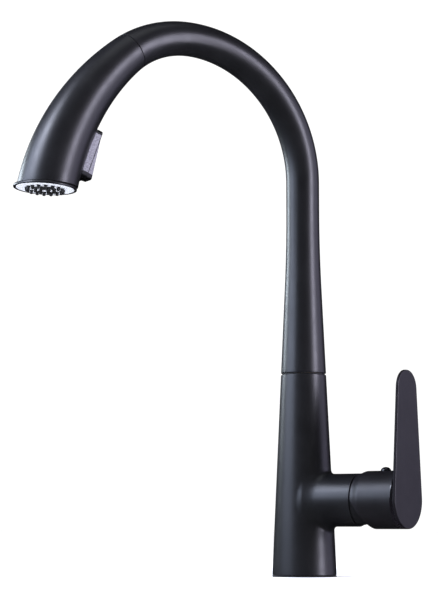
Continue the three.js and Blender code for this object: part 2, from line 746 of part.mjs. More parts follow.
function facePlate() {
  const outline = new THREE.Shape(circlePoints(0, 0, PLATE_RADIUS, 32));
  outline.holes.push(new THREE.Path(circlePoints(0, 0, AERATOR_HOLE, 16)));
  for (const [x, y] of nozzleCentres()) {
    outline.holes.push(new THREE.Path(circlePoints(x, y, NOZZLE_RADIUS + GAP, 8)));
  }
  const shape = new THREE.ExtrudeGeometry(outline, { depth: 1.1, bevelEnabled: false });
  return piece('spray_plate', shape.translate(0, 0, BEZEL_FLOOR + GAP), 'face_silver');
}

function nozzleMat() {
  const disc = ring(AERATOR_HOLE, MAT_RADIUS, -4, BEZEL_FLOOR, 20);
  const nub = [
    [0, -3], [NOZZLE_RADIUS, -3], [NOZZLE_RADIUS, 0.2], [NOZZLE_RADIUS * 0.75, NOZZLE_TIP], [0, NOZZLE_TIP],
  ];
  const nubs = nozzleCentres().map(([x, y]) => turned(nub, 6).translate(x, y, 0));
  return piece('nozzle_mat', join(disc, ...nubs), 'rubber');
}

function diverterDisc() {
  const disc = ring(AERATOR_HOLE, MAT_RADIUS, -8.6, -4 - GAP, 20);
  const holes = Array.from({ length: 6 }, (_, i) => {
    const angle = Math.PI / 3 * i;
    return rod(1.6, -10, -3, 6).translate(10.5 * Math.cos(angle), 10.5 * Math.sin(angle), 0);
  });
  return piece('diverter_disc', cut(disc, ...holes), 'black_plastic');
}

function aerator() {
  const cup = turned([[0, -9], [4.9, -9], [4.9, -0.1], [4.0, 0.2], [3.7, -0.2], [3.7, -3], [0, -3]], 16);
  const bars = [-1, 1].flatMap((side) => [
    block([-3.8, side * 1.25 - 0.3, -3.5], [3.8, side * 1.25 + 0.3, -0.6]),
    block([side * 1.25 - 0.3, -3.8, -3.5], [side * 1.25 + 0.3, 3.8, -0.6]),
  ]);
  return piece('aerator', join(cup, ...bars), 'black_plastic');
}

function buttonFrame() {
  const neck = plate(-18.7, 19.5, 7.2, 2.2, BUTTON_FOOT, 0, 0);
  const half = BUTTON_LENGTH / 2;
  const flange = plate(-half, half, BUTTON_WIDTH / 2, 3.0, -5.6, BUTTON_RIM, 0.4);
  const skin = bentRod(BUTTON_STATION - 40, FACE_STATION, (station) => skinRadius(station) + GAP, 16, 28);
  const collar = cut(flange, unplaced(skin, buttonGroup()));
  const recess = plate(
    ROCKER_TOP - ROCKER_CLEARANCE,
    ROCKER_BOTTOM + ROCKER_CLEARANCE,
    ROCKER_WIDTH / 2 + ROCKER_CLEARANCE,
    2.0,
    BUTTON_FLOOR,
    BUTTON_RIM + 1,
    0,
  );
  const pinHole = rod(1.0, -7.7, 7.7, 8).rotateX(Math.PI / 2);
  return piece('button_frame', cut(join(neck, collar), recess, pinHole), 'satin_grey');
}

function rockerButton() {
  const slab = plate(ROCKER_TOP, ROCKER_BOTTOM, ROCKER_WIDTH / 2, 1.8, ROCKER_BACK, ROCKER_FACE, 0.5);
  const pinHole = rod(1.1, -12, 12, 8).rotateX(Math.PI / 2);
  return piece('rocker_button', cut(slab, pinHole).rotateY(-ROCKER_TILT), 'satin_grey');
}

function rockerPin() {
  return piece('rocker_pin', rod(0.8, -7.5, 7.5, 8).rotateX(Math.PI / 2), 'steel');
}

// ---------------------------------------------------------------- assembly

const lever = new THREE.Group();
lever.position.set(0, 0, LEVER_HEIGHT);
lever.add(
  cartridgeBody(),
  cartridgeNut(),
  domeCap(),
  cartridgeCam(),
  camPin(),
  leverStem(),
  leverHandle(),
  setScrew(),
  screwPlug(),
);

const neck = neckGroup();
neck.add(hoseUnion(), headNeck());

const face = faceGroup();
face.add(bezelRing(), facePlate(), nozzleMat(), diverterDisc(), aerator());

const button = buttonGroup();
button.add(buttonFrame(), rockerButton(), rockerPin());

const spout = new THREE.Group();
spout.rotation.z = -Math.PI / 2 - SPOUT_SWIVEL;
spout.add(
  spoutTube(),
  spoutSpigot(),
  ...spoutSeals(),
  glideRing(),
  ...dock(),
  pulloutHose(),
  headShell(),
  headCore(),
  neck,
  face,
  button,
);

const faucet = new THREE.Group();
faucet.add(
  baseGasket(),
  bodyCasting(),
  mountingShank(),
  ...deckWashers(),
  mountingNut(),
  ...clampScrews(),
  lever,
  spout,
);

export default faucet;
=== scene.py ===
"""Looks of the pull-down kitchen faucet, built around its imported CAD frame.

Lengths are millimetres in the faucet's own frame: +Z up, -Y towards the user, the lever hub along +X.
Only the softboxes are sized and placed in metres, and every mesh is written in metres. A station is an arc
length from the deck along the centreline of column and spout, so in the column it is also the height.
"""
import math

import bmesh
import bpy
import numpy as np
from mathutils import Matrix, Vector


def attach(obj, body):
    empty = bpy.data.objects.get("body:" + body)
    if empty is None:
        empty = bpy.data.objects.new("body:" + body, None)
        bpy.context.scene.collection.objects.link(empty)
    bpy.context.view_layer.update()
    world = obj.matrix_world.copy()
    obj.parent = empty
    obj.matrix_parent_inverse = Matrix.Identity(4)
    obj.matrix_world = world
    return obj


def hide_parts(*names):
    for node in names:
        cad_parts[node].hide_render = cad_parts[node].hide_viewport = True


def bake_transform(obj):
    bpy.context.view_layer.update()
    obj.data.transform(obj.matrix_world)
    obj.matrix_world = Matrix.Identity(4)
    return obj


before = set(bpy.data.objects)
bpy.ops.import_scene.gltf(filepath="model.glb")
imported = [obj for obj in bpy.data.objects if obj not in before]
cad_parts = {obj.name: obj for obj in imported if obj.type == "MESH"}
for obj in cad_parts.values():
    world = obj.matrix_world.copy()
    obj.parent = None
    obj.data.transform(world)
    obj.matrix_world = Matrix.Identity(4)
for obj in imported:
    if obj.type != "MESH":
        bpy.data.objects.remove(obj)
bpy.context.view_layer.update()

MM = 0.001

# ---------------- driving dimensions

GAP = 0.3  # between pieces that touch

# Column and spout
BASE_RADIUS = 26.0
TAPER = 0.047
TAPER_END = 235.0
EASE_LENGTH = 60.0  # over which the column's taper fades out
RISER_TOP = 320.6
ARCH_RADIUS = 107.6
SHOULDER_RADIUS = 88.8
SHOULDER_SWEEP = math.radians(40.3)
HEAD_CURVE_RADIUS = 199.3
HEAD_CURVE_SWEEP = math.radians(37.9)
SPOUT_TURN = math.radians(-120)  # from +X to the stored spout
CROWN = RISER_TOP + ARCH_RADIUS * math.pi / 2
SHOULDER_END = CROWN + SHOULDER_RADIUS * SHOULDER_SWEEP
FACE_STATION = SHOULDER_END + HEAD_CURVE_RADIUS * HEAD_CURVE_SWEEP
HEAD_SEAM = CROWN + 55.0
FLARE_START = CROWN - 10.0
FLARE_LENGTH = 220.0
FLARE = 9.8  # growth of the radius over that length
TUBE_WALL = 1.8
DOCK_DEPTH = 16.0
DOCK_CLEARANCE = 0.8
DOCK_BORE = 10.4
GLIDE_RING_BORE = 14.8
GLIDE_RING_RADIUS = 17.3
HOSE_RADIUS = 5.95
HOSE_START = -54.0
HOSE_SPLIT = HEAD_SEAM - 45.0  # where the hose's last stretch, by the dock, begins
HOSE_END = HEAD_SEAM - 10.0

# Body casting
GASKET_BORE = 17.5
GASKET_RADIUS = 25.9
GASKET_TOP = 1.2
BODY_BOTTOM = GASKET_TOP + GAP
BODY_TOP = 162.4
SPOUT_BOTTOM = 163.7
FOOT_START = 25.0  # radius where the profile starts, on the flat underside
FOOT_ROUNDING = 0.35
SPIGOT_BORE = 15.0
SPIGOT_FLOOR = 118.0
WATERWAY = 13.6
SHANK_POCKET = 16.3
SHANK_POCKET_TOP = 14.0
FILLET = 6.0  # size of the blend between column and branch
BODY_COLUMNS = 160  # columns of points round the body
PATCH_COLUMNS = 40  # those on each side of the branch that the patch takes
PATCH_ROWS = 40
PATCH_REACH = 30.0  # of the patch above and below the branch's axis

# Mounting hardware
SHANK_RADIUS = 15.95
SHANK_BORE = 13.0
SHANK_BOTTOM = -55.0
THREAD_DEPTH = 0.9
THREAD_PITCH = 1.5
WASHER_HOLE = 16.6
WASHER_RADIUS = 26.9
RUBBER_WASHER = (-33.0, -30.0)  # lowest and highest
STEEL_WASHER = (-35.3, -33.3)
NUT_CORNER = 25.95
NUT_BOTTOM = -46.2
NUT_TOP = -36.2
NUT_BORE = 16.3
CLAMP_CIRCLE = 21.0  # radius on which the clamp screws stand
CLAMP_HOLE = 2.3
CLAMP_SCREW_BOTTOM = -53.2
CLAMP_HEAD_TOP = -50.2
CLAMP_SCREW_TIP = -35.8

# Lever and its branch
LEVER_HEIGHT = 61.0
BRANCH_RADIUS = 21.1
BRANCH_END = 50.1
POCKET_RADIUS = 17.6
POCKET_FLOOR = 22.0
PIVOT = 50.4
DOME_RADIUS = 20.0
DOME_WALL = 1.8
DOME_HOLE = 12.8
DOME_SKIRT = 17.3
DOME_SKIRT_BORE = 15.5
DOME_SKIRT_END = 43.3
HUB_RADIUS = 23.0
HUB_RIM = 0.6
HUB_SHOULDER = 8.4
HUB_BORE = 20.35
HUB_BORE_DEPTH = 19.8
HUB_END = 39.6
BLADE_THICKNESS = 2.6
BLADE_TIP = 102.3
BLADE_TAPER = math.radians(4.9)
BLADE_TIP_RADIUS = 15.0
BLADE_BREADTH = 1.12  # the blade's breadth over the hub's diameter
NOTCH_RADIUS = 1.7  # of the round groove behind the blade
SOCKET_HALF = 4.2
RELIEF_ANGLE = math.radians(30)
SCREW_REACH = 22.6  # from the pivot to the set screw
SCREW_HOLE = 2.6
PLUG_SEAT = 17.0
PLUG_RADIUS = 4.1
PLUG_CROWN = 3.0

# Spray head
SHELL_WALL = 2.0
FACE_TILT = math.radians(3.5)
FACE_FORWARD = 1.5
SHELL_CUT = 2.6
BEZEL_RADIUS = 24.4
PLATE_RADIUS = 22.3
MAT_RADIUS = 17.2
MAT_BORE = 5.2
NOZZLE_RINGS = ((13.9, 16), (7.6, 8))  # radius and number of nozzles
BUTTON_STATION = CROWN + 153.2
BUTTON_PIVOT_LIFT = 3.6
BUTTON_HALF = 20.75
BUTTON_HALF_WIDTH = 8.2
WINDOW = (-19.0, 19.8, 7.5)  # its two ends and half its width
NECK = (-18.7, 19.5, 7.2)  # the button frame's lower part, in the window
BUTTON_RIM = 1.2  # heights on the button are measured from the pin
BUTTON_FLOOR = -4.0
BUTTON_FOOT = -6.2
SURROUND_BACK = -5.6
ROCKER_HALF_WIDTH = 6.0
ROCKER_TILT = math.radians(7.5)
ROCKER_TOP = -14.6
ROCKER_BOTTOM = 19.4
ROCKER_BACK = -1.2
ROCKER_FACE = 3.9
ROCKER_CLEARANCE = 0.5
GRIP_GROOVES = (-10.5, -8.0, -5.5, 9.5, 12.0, 14.5)

SHARP_ANGLE = math.radians(35)  # edges sharper than this stay sharp

# ---------------- camera, light and floor

CAMERA_AZIMUTH = math.radians(30)  # the camera stands this far round from the user towards the lever
CAMERA_DISTANCE = 1600.0
EYE_HEIGHT = 40.0
CAMERA_OFFSET = -68.8  # along the picture, from the column's axis
AIM_HEIGHT = 224.0
LENS = 118.24
SENSOR_WIDTH = 36.0
LIGHT_TARGET = Vector((0, 0, 0.25))
ROOM_WHITE = 1.10
ROOM_MIRRORED = 0.012
FLOOR_HALF = 20000.0
FLOOR_DEPTH = 20.0

TOWARDS = Vector((math.sin(CAMERA_AZIMUTH), -math.cos(CAMERA_AZIMUTH), 0))
RIGHT = Vector((math.cos(CAMERA_AZIMUTH), math.sin(CAMERA_AZIMUTH), 0))


def look(thing, place, target):
    thing.location = place
    thing.rotation_mode = "QUATERNION"
    thing.rotation_quaternion = (target - place).to_track_quat("-Z", "Y")


def make_camera():
    data = bpy.data.cameras.new("camera")
    data.lens = LENS
    data.sensor_width = SENSOR_WIDTH
    camera = link("camera", data)
    place = (TOWARDS * CAMERA_DISTANCE + RIGHT * CAMERA_OFFSET + Vector((0, 0, EYE_HEIGHT))) * MM
    look(camera, place, (RIGHT * CAMERA_OFFSET + Vector((0, 0, AIM_HEIGHT))) * MM)
    bpy.context.scene.camera = camera


def softbox(name, turn, height, distance, width, tall, power, colour):
    """A rectangular light aimed at the middle of the faucet, turned by degrees round it from the camera's
    side. Its height, distance and size are in metres."""
    data = bpy.data.lights.new(name, "AREA")
    data.shape = "RECTANGLE"
    data.size = width
    data.size_y = tall
    data.energy = power
    data.color = colour
    around = CAMERA_AZIMUTH + math.radians(turn)
    place = Vector((math.sin(around) * distance, -math.cos(around) * distance, height))
    look(link(name, data), place, LIGHT_TARGET)


def make_studio():
    """A white room that mirrors dark, as black flags behind the softboxes would make it."""
    bpy.context.scene.view_settings.view_transform = "Standard"
    world = bpy.data.worlds.new("studio")
    world.cycles.sampling_method = "NONE"
    bpy.context.scene.world = world
    world.use_nodes = True
    tree = world.node_tree
    background = tree.nodes["Background"]
    background.inputs["Color"].default_value = (1, 1, 1, 1)
    path = tree.nodes.new("ShaderNodeLightPath")
    strength = tree.nodes.new("ShaderNodeMapRange")
    strength.inputs["To Min"].default_value = ROOM_WHITE
    strength.inputs["To Max"].default_value = ROOM_MIRRORED
    tree.links.new(path.outputs["Is Glossy Ray"], strength.inputs["Value"])
    tree.links.new(strength.outputs["Result"], background.inputs["Strength"])
    softbox("left_softbox", -74, 0.72, 1.3, 1.2, 1.0, 20, (0.68, 0.77, 1.0))
    softbox("left_rim", -122, 0.56, 1.3, 0.36, 0.44, 8, (0.80, 0.90, 1.0))
    softbox("right_softbox", 62, 0.38, 1.3, 0.34, 1.1, 16, (0.84, 0.82, 1.0))
    softbox("right_fill", 90, 0.55, 1.5, 1.7, 1.3, 8, (0.74, 0.70, 1.0))
    softbox("top_softbox", 0, 2.0, 0.3, 1.0, 1.0, 2, (0.92, 0.95, 1.0))
    softbox("left_high_softbox", -68, 1.25, 1.15, 0.4, 0.5, 12, (0.78, 0.82, 1.0))


def make_floor():
    floor = box_piece("floor", (-FLOOR_HALF, -FLOOR_HALF, -FLOOR_DEPTH), (FLOOR_HALF, FLOOR_HALF, 0))
    floor.data.materials.append(plain_floor())
    floor.visible_glossy = False


# ---------------- meshes

def link(name, data):
    thing = bpy.data.objects.new(name, data)
    bpy.context.scene.collection.objects.link(thing)
    return thing


def mesh_from(name, vertices, faces):
    mesh = bpy.data.meshes.new(name)
    mesh.from_pydata((np.asarray(vertices, float) * MM).tolist(), [], faces)
    clean(mesh)
    return link(name, mesh)


def clean(mesh):
    """Merges shared points, drops loose ones and points the faces out."""
    work = bmesh.new()
    work.from_mesh(mesh)
    bmesh.ops.remove_doubles(work, verts=work.verts, dist=1e-7)
    bmesh.ops.delete(work, geom=[v for v in work.verts if not v.link_faces], context="VERTS")
    bmesh.ops.recalc_face_normals(work, faces=work.faces)
    work.to_mesh(mesh)
    work.free()


def strip_faces(rings, around, start=0, loop=False):
    faces = []
    for i in range(rings if loop else rings - 1):
        for j in range(around):
            here, over = start + i * around, start + (i + 1) % rings * around
            step = (j + 1) % around
            faces.append((here + j, here + step, over + step, over + j))
    return faces


def loft(name, rings, loop=False):
    """A closed skin through rings of points. The ends are joined to each other or filled flat."""
    rings = np.asarray(rings, float)
    count, around = rings.shape[:2]
    faces = strip_faces(count, around, loop=loop)
    if not loop:
        faces.append(tuple(range(around)))
        faces.append(tuple(range((count - 1) * around, count * around)))
    return mesh_from(name, rings.reshape(-1, 3), faces)


def soften(outline, loop=False, steps=4):
    """Rounds each corner of an outline of (a, b, rounding) points."""
    points = [np.array(p[:2], float) for p in outline]
    rounds = [p[2] if len(p) > 2 else 0 for p in outline]
    made = []
    for i, (corner, size) in enumerate(zip(points, rounds)):
        if size == 0 or (not loop and i in (0, len(points) - 1)):
            made.append(corner)
            continue
        before, after = points[i - 1] - corner, points[(i + 1) % len(points)] - corner
        reach = min(size, 0.45 * np.linalg.norm(before), 0.45 * np.linalg.norm(after))
        start = corner + before / np.linalg.norm(before) * reach
        end = corner + after / np.linalg.norm(after) * reach
        for t in np.linspace(0, 1, steps + 1):
            made.append((1 - t) ** 2 * start + 2 * t * (1 - t) * corner + t * t * end)
    return np.array(made)


def turned(name, profile, sides, loop=False):
    """A profile of (radius, height, rounding) points turned about Z."""
    return loft(name, turned_rings(soften(profile, loop), sides), loop)


def turned_rings(profile, sides):
    angles = np.linspace(0, 2 * math.pi, sides, endpoint=False)
    radius, height = np.asarray(profile)[:, 0, None], np.asarray(profile)[:, 1, None]
    return np.stack([radius * np.cos(angles), radius * np.sin(angles), height + 0 * angles], -1)


def slab(name, outline, low, high, rounding):
    """A closed outline of (x, y) points, thick along Z, with rounded rims."""
    outline = np.asarray(outline, float)
    along = np.roll(outline, -1, 0) - np.roll(outline, 1, 0)
    along /= np.linalg.norm(along, axis=1)[:, None]
    outward = np.stack([along[:, 1], -along[:, 0]], -1)
    turns = np.linspace(0, math.pi / 2, 5)
    levels = [(rounding * (1 - math.sin(t)), low + rounding * (1 - math.cos(t))) for t in turns]
    levels += [(inset, high + low - z) for inset, z in reversed(levels)]
    rings = [np.column_stack([outline - outward * inset, np.full(len(outline), z)]) for inset, z in levels]
    return loft(name, rings)


def rounded_box_outline(left, right, half_width, corner, steps=8):
    made = []
    corners = ((right, half_width), (left, half_width), (left, -half_width), (right, -half_width))
    for start, (x, y) in enumerate(corners):
        centre = np.array([x - math.copysign(corner, x - (left + right) / 2), y - math.copysign(corner, y)])
        for t in np.linspace(0, 1, steps + 1):
            angle = (start + t) * math.pi / 2
            made.append(centre + corner * np.array([math.cos(angle), math.sin(angle)]))
    return np.array(made)


def box_piece(name, low, high):
    corners = [(low[0], low[1]), (high[0], low[1]), (high[0], high[1]), (low[0], high[1])]
    return loft(name, [[(x, y, z) for x, y in corners] for z in (low[2], high[2])])


def resampled(outline, spacing):
    """A closed outline with its long straight stretches divided."""
    made = []
    for here, after in zip(outline, np.roll(outline, -1, 0)):
        steps = max(1, int(round(np.linalg.norm(after - here) / spacing)))
        made += [here + (after - here) * i / steps for i in range(steps)]
    return np.array(made)


def apply(thing):
    """Turns a piece's modifiers into its mesh."""
    depsgraph = bpy.context.evaluated_depsgraph_get()
    mesh = bpy.data.meshes.new_from_object(thing.evaluated_get(depsgraph))
    thing.modifiers.clear()
    old = thing.data
    thing.data = mesh
    bpy.data.meshes.remove(old)


def boolean(thing, tool, operation="DIFFERENCE"):
    change = thing.modifiers.new("cut", "BOOLEAN")
    change.operation = operation
    change.solver = "EXACT"
    change.object = tool
    bpy.context.view_layer.update()
    apply(thing)
    bpy.data.objects.remove(tool)
    return thing


def moved(thing, matrix):
    """Moves a piece's mesh by a matrix given in millimetres."""
    matrix = matrix.copy()
    matrix.translation *= MM
    thing.data.transform(matrix)
    thing.data.update()
    return thing


def shift(x, y, z):
    return Matrix.Translation((x, y, z))


ALONG_X = Matrix.Rotation(math.pi / 2, 4, "Y")
ON_LEVER_AXIS = shift(0, 0, LEVER_HEIGHT) @ ALONG_X
ON_PIVOT = shift(PIVOT, 0, LEVER_HEIGHT)
IN_SPOUT = Matrix.Rotation(SPOUT_TURN, 4, "Z")
ACROSS = Matrix.Rotation(math.pi / 2, 4, "X")


def smooth(thing):
    thing.data.shade_smooth()
    thing.data.set_sharp_from_angle(angle=SHARP_ANGLE)


def finish_piece(thing, body, material, node):
    """Smooths a piece, gives it its material, hangs it on its body and lets it stand for its CAD node."""
    smooth(thing)
    weighted = thing.modifiers.new("weighted_normals", "WEIGHTED_NORMAL")
    weighted.keep_sharp = True
    thing.data.materials.append(material)
    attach(thing, body)
    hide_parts(node)


# ---------------- spout centreline

def spine(station):
    """x, z and downward slope of the centreline at arc lengths from the deck, in the spout's plane."""
    station = np.asarray(station, float)
    arch = (station - RISER_TOP) / ARCH_RADIUS
    shoulder = (station - CROWN) / SHOULDER_RADIUS
    head = SHOULDER_SWEEP + (station - SHOULDER_END) / HEAD_CURVE_RADIUS
    crown_height = RISER_TOP + ARCH_RADIUS
    end_x = ARCH_RADIUS + SHOULDER_RADIUS * math.sin(SHOULDER_SWEEP)
    end_z = crown_height - SHOULDER_RADIUS * (1 - math.cos(SHOULDER_SWEEP))
    stretches = [station <= RISER_TOP, station <= CROWN, station <= SHOULDER_END]
    x = np.select(stretches, [
        0 * station,
        ARCH_RADIUS * (1 - np.cos(arch)),
        ARCH_RADIUS + SHOULDER_RADIUS * np.sin(shoulder),
    ], end_x + HEAD_CURVE_RADIUS * (np.sin(head) - math.sin(SHOULDER_SWEEP)))
    z = np.select(stretches, [
        station,
        RISER_TOP + ARCH_RADIUS * np.sin(arch),
        crown_height - SHOULDER_RADIUS * (1 - np.cos(shoulder)),
    ], end_z + HEAD_CURVE_RADIUS * (np.cos(head) - math.cos(SHOULDER_SWEEP)))
    slope = np.select(stretches, [0 * station - math.pi / 2, arch - math.pi / 2, shoulder], head)
    return x, z, slope


def skin_radius(station):
    """Outer radius of column, arch and head."""
    station = np.asarray(station, float)
    past = np.clip(station - TAPER_END, 0, EASE_LENGTH)
    column = BASE_RADIUS - TAPER * np.minimum(station, TAPER_END)
    column = column - TAPER * past * (1 - past / (2 * EASE_LENGTH))
    swell = np.clip((station - FLARE_START) / FLARE_LENGTH, 0, 1)
    return column + FLARE * (1 - np.cos(math.pi * swell)) / 2


def bent(rings):
    """Bends rings turned about Z so that their height runs along the centreline."""
    rings = np.asarray(rings, float)
    x, z, slope = spine(rings[..., 2])
    side = rings[..., 0]
    return np.stack([x + side * np.sin(slope), -rings[..., 1], z + side * np.cos(slope)], -1)


def tube_profile(start, end, outer, inner, spacing, rim):
    """Closed profile of a tube: outside up, inside down, with rounded outer rims."""
    along = np.linspace(start + rim, end - rim, max(2, int((end - start) / spacing)))
    outside = [(outer(s), s) for s in along]
    outside.insert(0, (outer(start) - rim * 0.3, start + rim * 0.3))
    outside.insert(0, (outer(start) - rim, start))
    outside.append((outer(end) - rim * 0.3, end - rim * 0.3))
    outside.append((outer(end) - rim, end))
    inside = [(inner(s), s) for s in np.linspace(end, start, len(along))]
    return outside + inside


def directions(station, lift, extra):
    """Forward along the spout and inward to the arch's inside, both turned on by an angle, and the
    centreline's point lifted inward."""
    x, z, slope = (float(v) for v in spine(station))
    forward = Vector((math.cos(slope + extra), 0, -math.sin(slope + extra)))
    inward = Vector((-math.sin(slope + extra), 0, -math.cos(slope + extra)))
    return forward, inward, Vector((x, 0, z)) + inward * lift


def frame_with(origin, x_axis, z_axis):
    """The matrix of a frame given in the spout's plane, turned with the spout."""
    y_axis = z_axis.cross(x_axis)
    matrix = Matrix((x_axis, y_axis, z_axis)).transposed().to_4x4()
    matrix.translation = origin
    return IN_SPOUT @ matrix


def neck_frame():
    """Frame at the seam, +Z out of the dock."""
    forward, inward, origin = directions(HEAD_SEAM, 0, 0)
    return frame_with(origin, inward, forward)


def face_frame():
    """Frame on the spray face, +Z out of the face."""
    slope = float(spine(FACE_STATION)[2])
    forward, inward, origin = directions(FACE_STATION, 0, math.pi / 2 - FACE_TILT - slope)
    return frame_with(origin + Vector((FACE_FORWARD, 0, 0)), inward, forward)


def button_frame():
    """Frame on the rocker's pin, +X towards the spray face and +Z away from the head."""
    growth = float(skin_radius(BUTTON_STATION + 1) - skin_radius(BUTTON_STATION - 1)) / 2
    lift = float(skin_radius(BUTTON_STATION)) + BUTTON_PIVOT_LIFT
    origin = directions(BUTTON_STATION, lift, 0)[2]
    forward, inward, _ = directions(BUTTON_STATION, lift, math.atan(growth))
    return frame_with(origin, forward, inward)


# ---------------- materials

class Surface:
    """A node material for one finish. Numbers that are even all over sit on the shader itself."""

    def __init__(self, name, metallic=0.0, coat=0.0, specular=0.5):
        self.material = bpy.data.materials.new(name)
        self.material.use_nodes = True
        self.tree = self.material.node_tree
        self.shader = self.tree.nodes["Principled BSDF"]
        self.shader.inputs["Metallic"].default_value = metallic
        self.shader.inputs["Coat Weight"].default_value = coat
        self.shader.inputs["Coat Roughness"].default_value = 0.15
        self.shader.inputs["Specular IOR Level"].default_value = specular
        self.place = self.node("ShaderNodeTexCoord").outputs["Object"]
        self.height = None

    def node(self, kind, **settings):
        made = self.tree.nodes.new(kind)
        for key, value in settings.items():
            setattr(made, key, value)
        return made

    def link(self, source, target):
        self.tree.links.new(source, target)

    def noise(self, scale, detail=3.0, stretch=(1, 1, 1)):
        mapping = self.node("ShaderNodeMapping")
        mapping.inputs["Scale"].default_value = stretch
        self.link(self.place, mapping.inputs["Vector"])
        made = self.node("ShaderNodeTexNoise")
        made.inputs["Scale"].default_value = scale
        made.inputs["Detail"].default_value = detail
        self.link(mapping.outputs["Vector"], made.inputs["Vector"])
        return made.outputs["Fac"]

    def between(self, factor, low, high, start=0.3, end=0.7):
        """A value that goes from low to high as the factor goes from start to end."""
        made = self.node("ShaderNodeMapRange")
        for name, value in (("To Min", low), ("To Max", high), ("From Min", start), ("From Max", end)):
            made.inputs[name].default_value = value
        self.link(factor, made.inputs["Value"])
        return made.outputs["Result"]

    def feed(self, target, value):
        """Links another node's output, or sets a fixed value."""
        if isinstance(value, bpy.types.NodeSocket):
            self.link(value, target)
        else:
            target.default_value = value

    def maths(self, operation, first, second=0):
        made = self.node("ShaderNodeMath", operation=operation)
        self.feed(made.inputs[0], first)
        self.feed(made.inputs[1], second)
        return made.outputs["Value"]

    def mix(self, kind, mask, outside, inside):
        """One value where a mask is 0 and another where it is 1."""
        made = self.node("ShaderNodeMix", data_type=kind)
        self.feed(made.inputs["Factor"], mask)
        self.feed(made.inputs["A"], outside)
        self.feed(made.inputs["B"], inside)
        return made.outputs["Result"]

    def component(self, origin, direction):
        """How far a place lies along a direction from an origin, in metres."""
        offset = self.node("ShaderNodeVectorMath", operation="SUBTRACT")
        offset.inputs[1].default_value = origin
        self.link(self.place, offset.inputs[0])
        dot = self.node("ShaderNodeVectorMath", operation="DOT_PRODUCT")
        dot.inputs[1].default_value = direction
        self.link(offset.outputs["Vector"], dot.inputs[0])
        return dot.outputs["Value"]

    def ramp(self, factor, dark, light, spread=0.2):
        """A colour that goes from dark to light as the factor passes one half."""
        made = self.node("ShaderNodeValToRGB")
        low, high = made.color_ramp.elements
        low.position = 0.5 - spread
        high.position = 0.5 + spread
        low.color = (*dark, 1)
        high.color = (*light, 1)
        self.link(factor, made.inputs["Fac"])
        return made.outputs["Color"]

    def colour(self, factor, dark, light):
        self.link(self.ramp(factor, dark, light), self.shader.inputs["Base Color"])

    def roughness(self, factor, low, high):
        self.link(self.between(factor, low, high), self.shader.inputs["Roughness"])

    def bump(self, factor, depth):
        """Adds relief of a depth in millimetres over any relief made before."""
        made = self.node("ShaderNodeBump")
        made.inputs["Distance"].default_value = depth * MM
        self.link(factor, made.inputs["Height"])
        if self.height is not None:
            self.link(self.height, made.inputs["Normal"])
        self.height = made.outputs["Normal"]
        self.link(self.height, self.shader.inputs["Normal"])


def band(made, value, low, high):
    """A mask that is 1 between two limits, with edges 0.2 mm wide."""
    distance = made.maths("ABSOLUTE", made.maths("SUBTRACT", value, (low + high) / 2 * MM))
    half = (high - low) / 2
    return made.between(distance, 0, 1, (half + 0.1) * MM, (half - 0.1) * MM)


def outside_band(made, here, axis, low, high):
    """A mask that is 1 where the distance along one axis of a frame lies outside two limits."""
    along = made.component(here.translation * MM, here.to_3x3().col[axis])
    return made.maths("SUBTRACT", 1, band(made, along, low, high))


def satin_black():
    """Baked satin paint: near black, a little cool, with a fine orange-peel and soft patches of sheen."""
    made = Surface("satin_black_paint", specular=0.55)
    made.colour(made.noise(35, 4), (0.0050, 0.0050, 0.0060), (0.0078, 0.0078, 0.0094))
    made.roughness(made.noise(90, 5), 0.34, 0.40)
    made.bump(made.noise(900, 2), 0.004)
    made.bump(made.noise(4200, 2), 0.0015)
    return made.material


def lever_black():
    """The same paint on the lever: polished in the groove behind the blade, with its specular turned down on
    the blade's edge to paint the dark shadow line along it.
    """
    made = Surface("satin_black_lever", specular=0.55)
    made.colour(made.noise(35, 4), (0.0058, 0.0050, 0.0066), (0.0088, 0.0078, 0.0100))
    across = made.node("ShaderNodeSeparateXYZ")
    made.link(made.place, across.inputs["Vector"])
    groove = band(made, across.outputs["X"], PIVOT + HUB_END - 3.6, PIVOT + HUB_END - 0.1)
    edge = band(made, across.outputs["X"], PIVOT + HUB_END, PIVOT + HUB_END + BLADE_THICKNESS - 0.3)
    rough = made.mix("FLOAT", groove, made.between(made.noise(90, 5), 0.38, 0.44), 0.12)
    made.link(rough, made.shader.inputs["Roughness"])
    # painted shade: the blade's edge loses most of its specular so that it reads as a dark shadow line
    made.link(made.mix("FLOAT", edge, 0.55, 0.1), made.shader.inputs["Specular IOR Level"])
    made.bump(made.noise(900, 2), 0.004)
    return made.material


def gloss_black():
    made = Surface("gloss_black_plastic", coat=0.2)
    made.colour(made.noise(120), (0.004, 0.004, 0.005), (0.009, 0.009, 0.01))
    made.roughness(made.noise(300), 0.06, 0.14)
    made.bump(made.noise(900), 0.002)
    return made.material


def moulded(name, dark, light, rough, grain=0.01):
    """Moulded plastic or rubber with a fine tooled grain."""
    made = Surface(name)
    made.colour(made.noise(140, 4), dark, light)
    made.roughness(made.noise(500, 3), *rough)
    made.bump(made.noise(2600, 3), grain)
    return made.material


def brushed(name, dark, light, rough, metallic=1.0, stretch=(1, 1, 14), scale=700, depth=0.006):
    """Metal or metal-look plastic with a drawn grain along one direction."""
    made = Surface(name, metallic=metallic)
    grain = made.noise(scale, 5, stretch)
    made.colour(grain, dark, light)
    made.roughness(grain, *rough)
    made.bump(grain, depth)
    return made.material


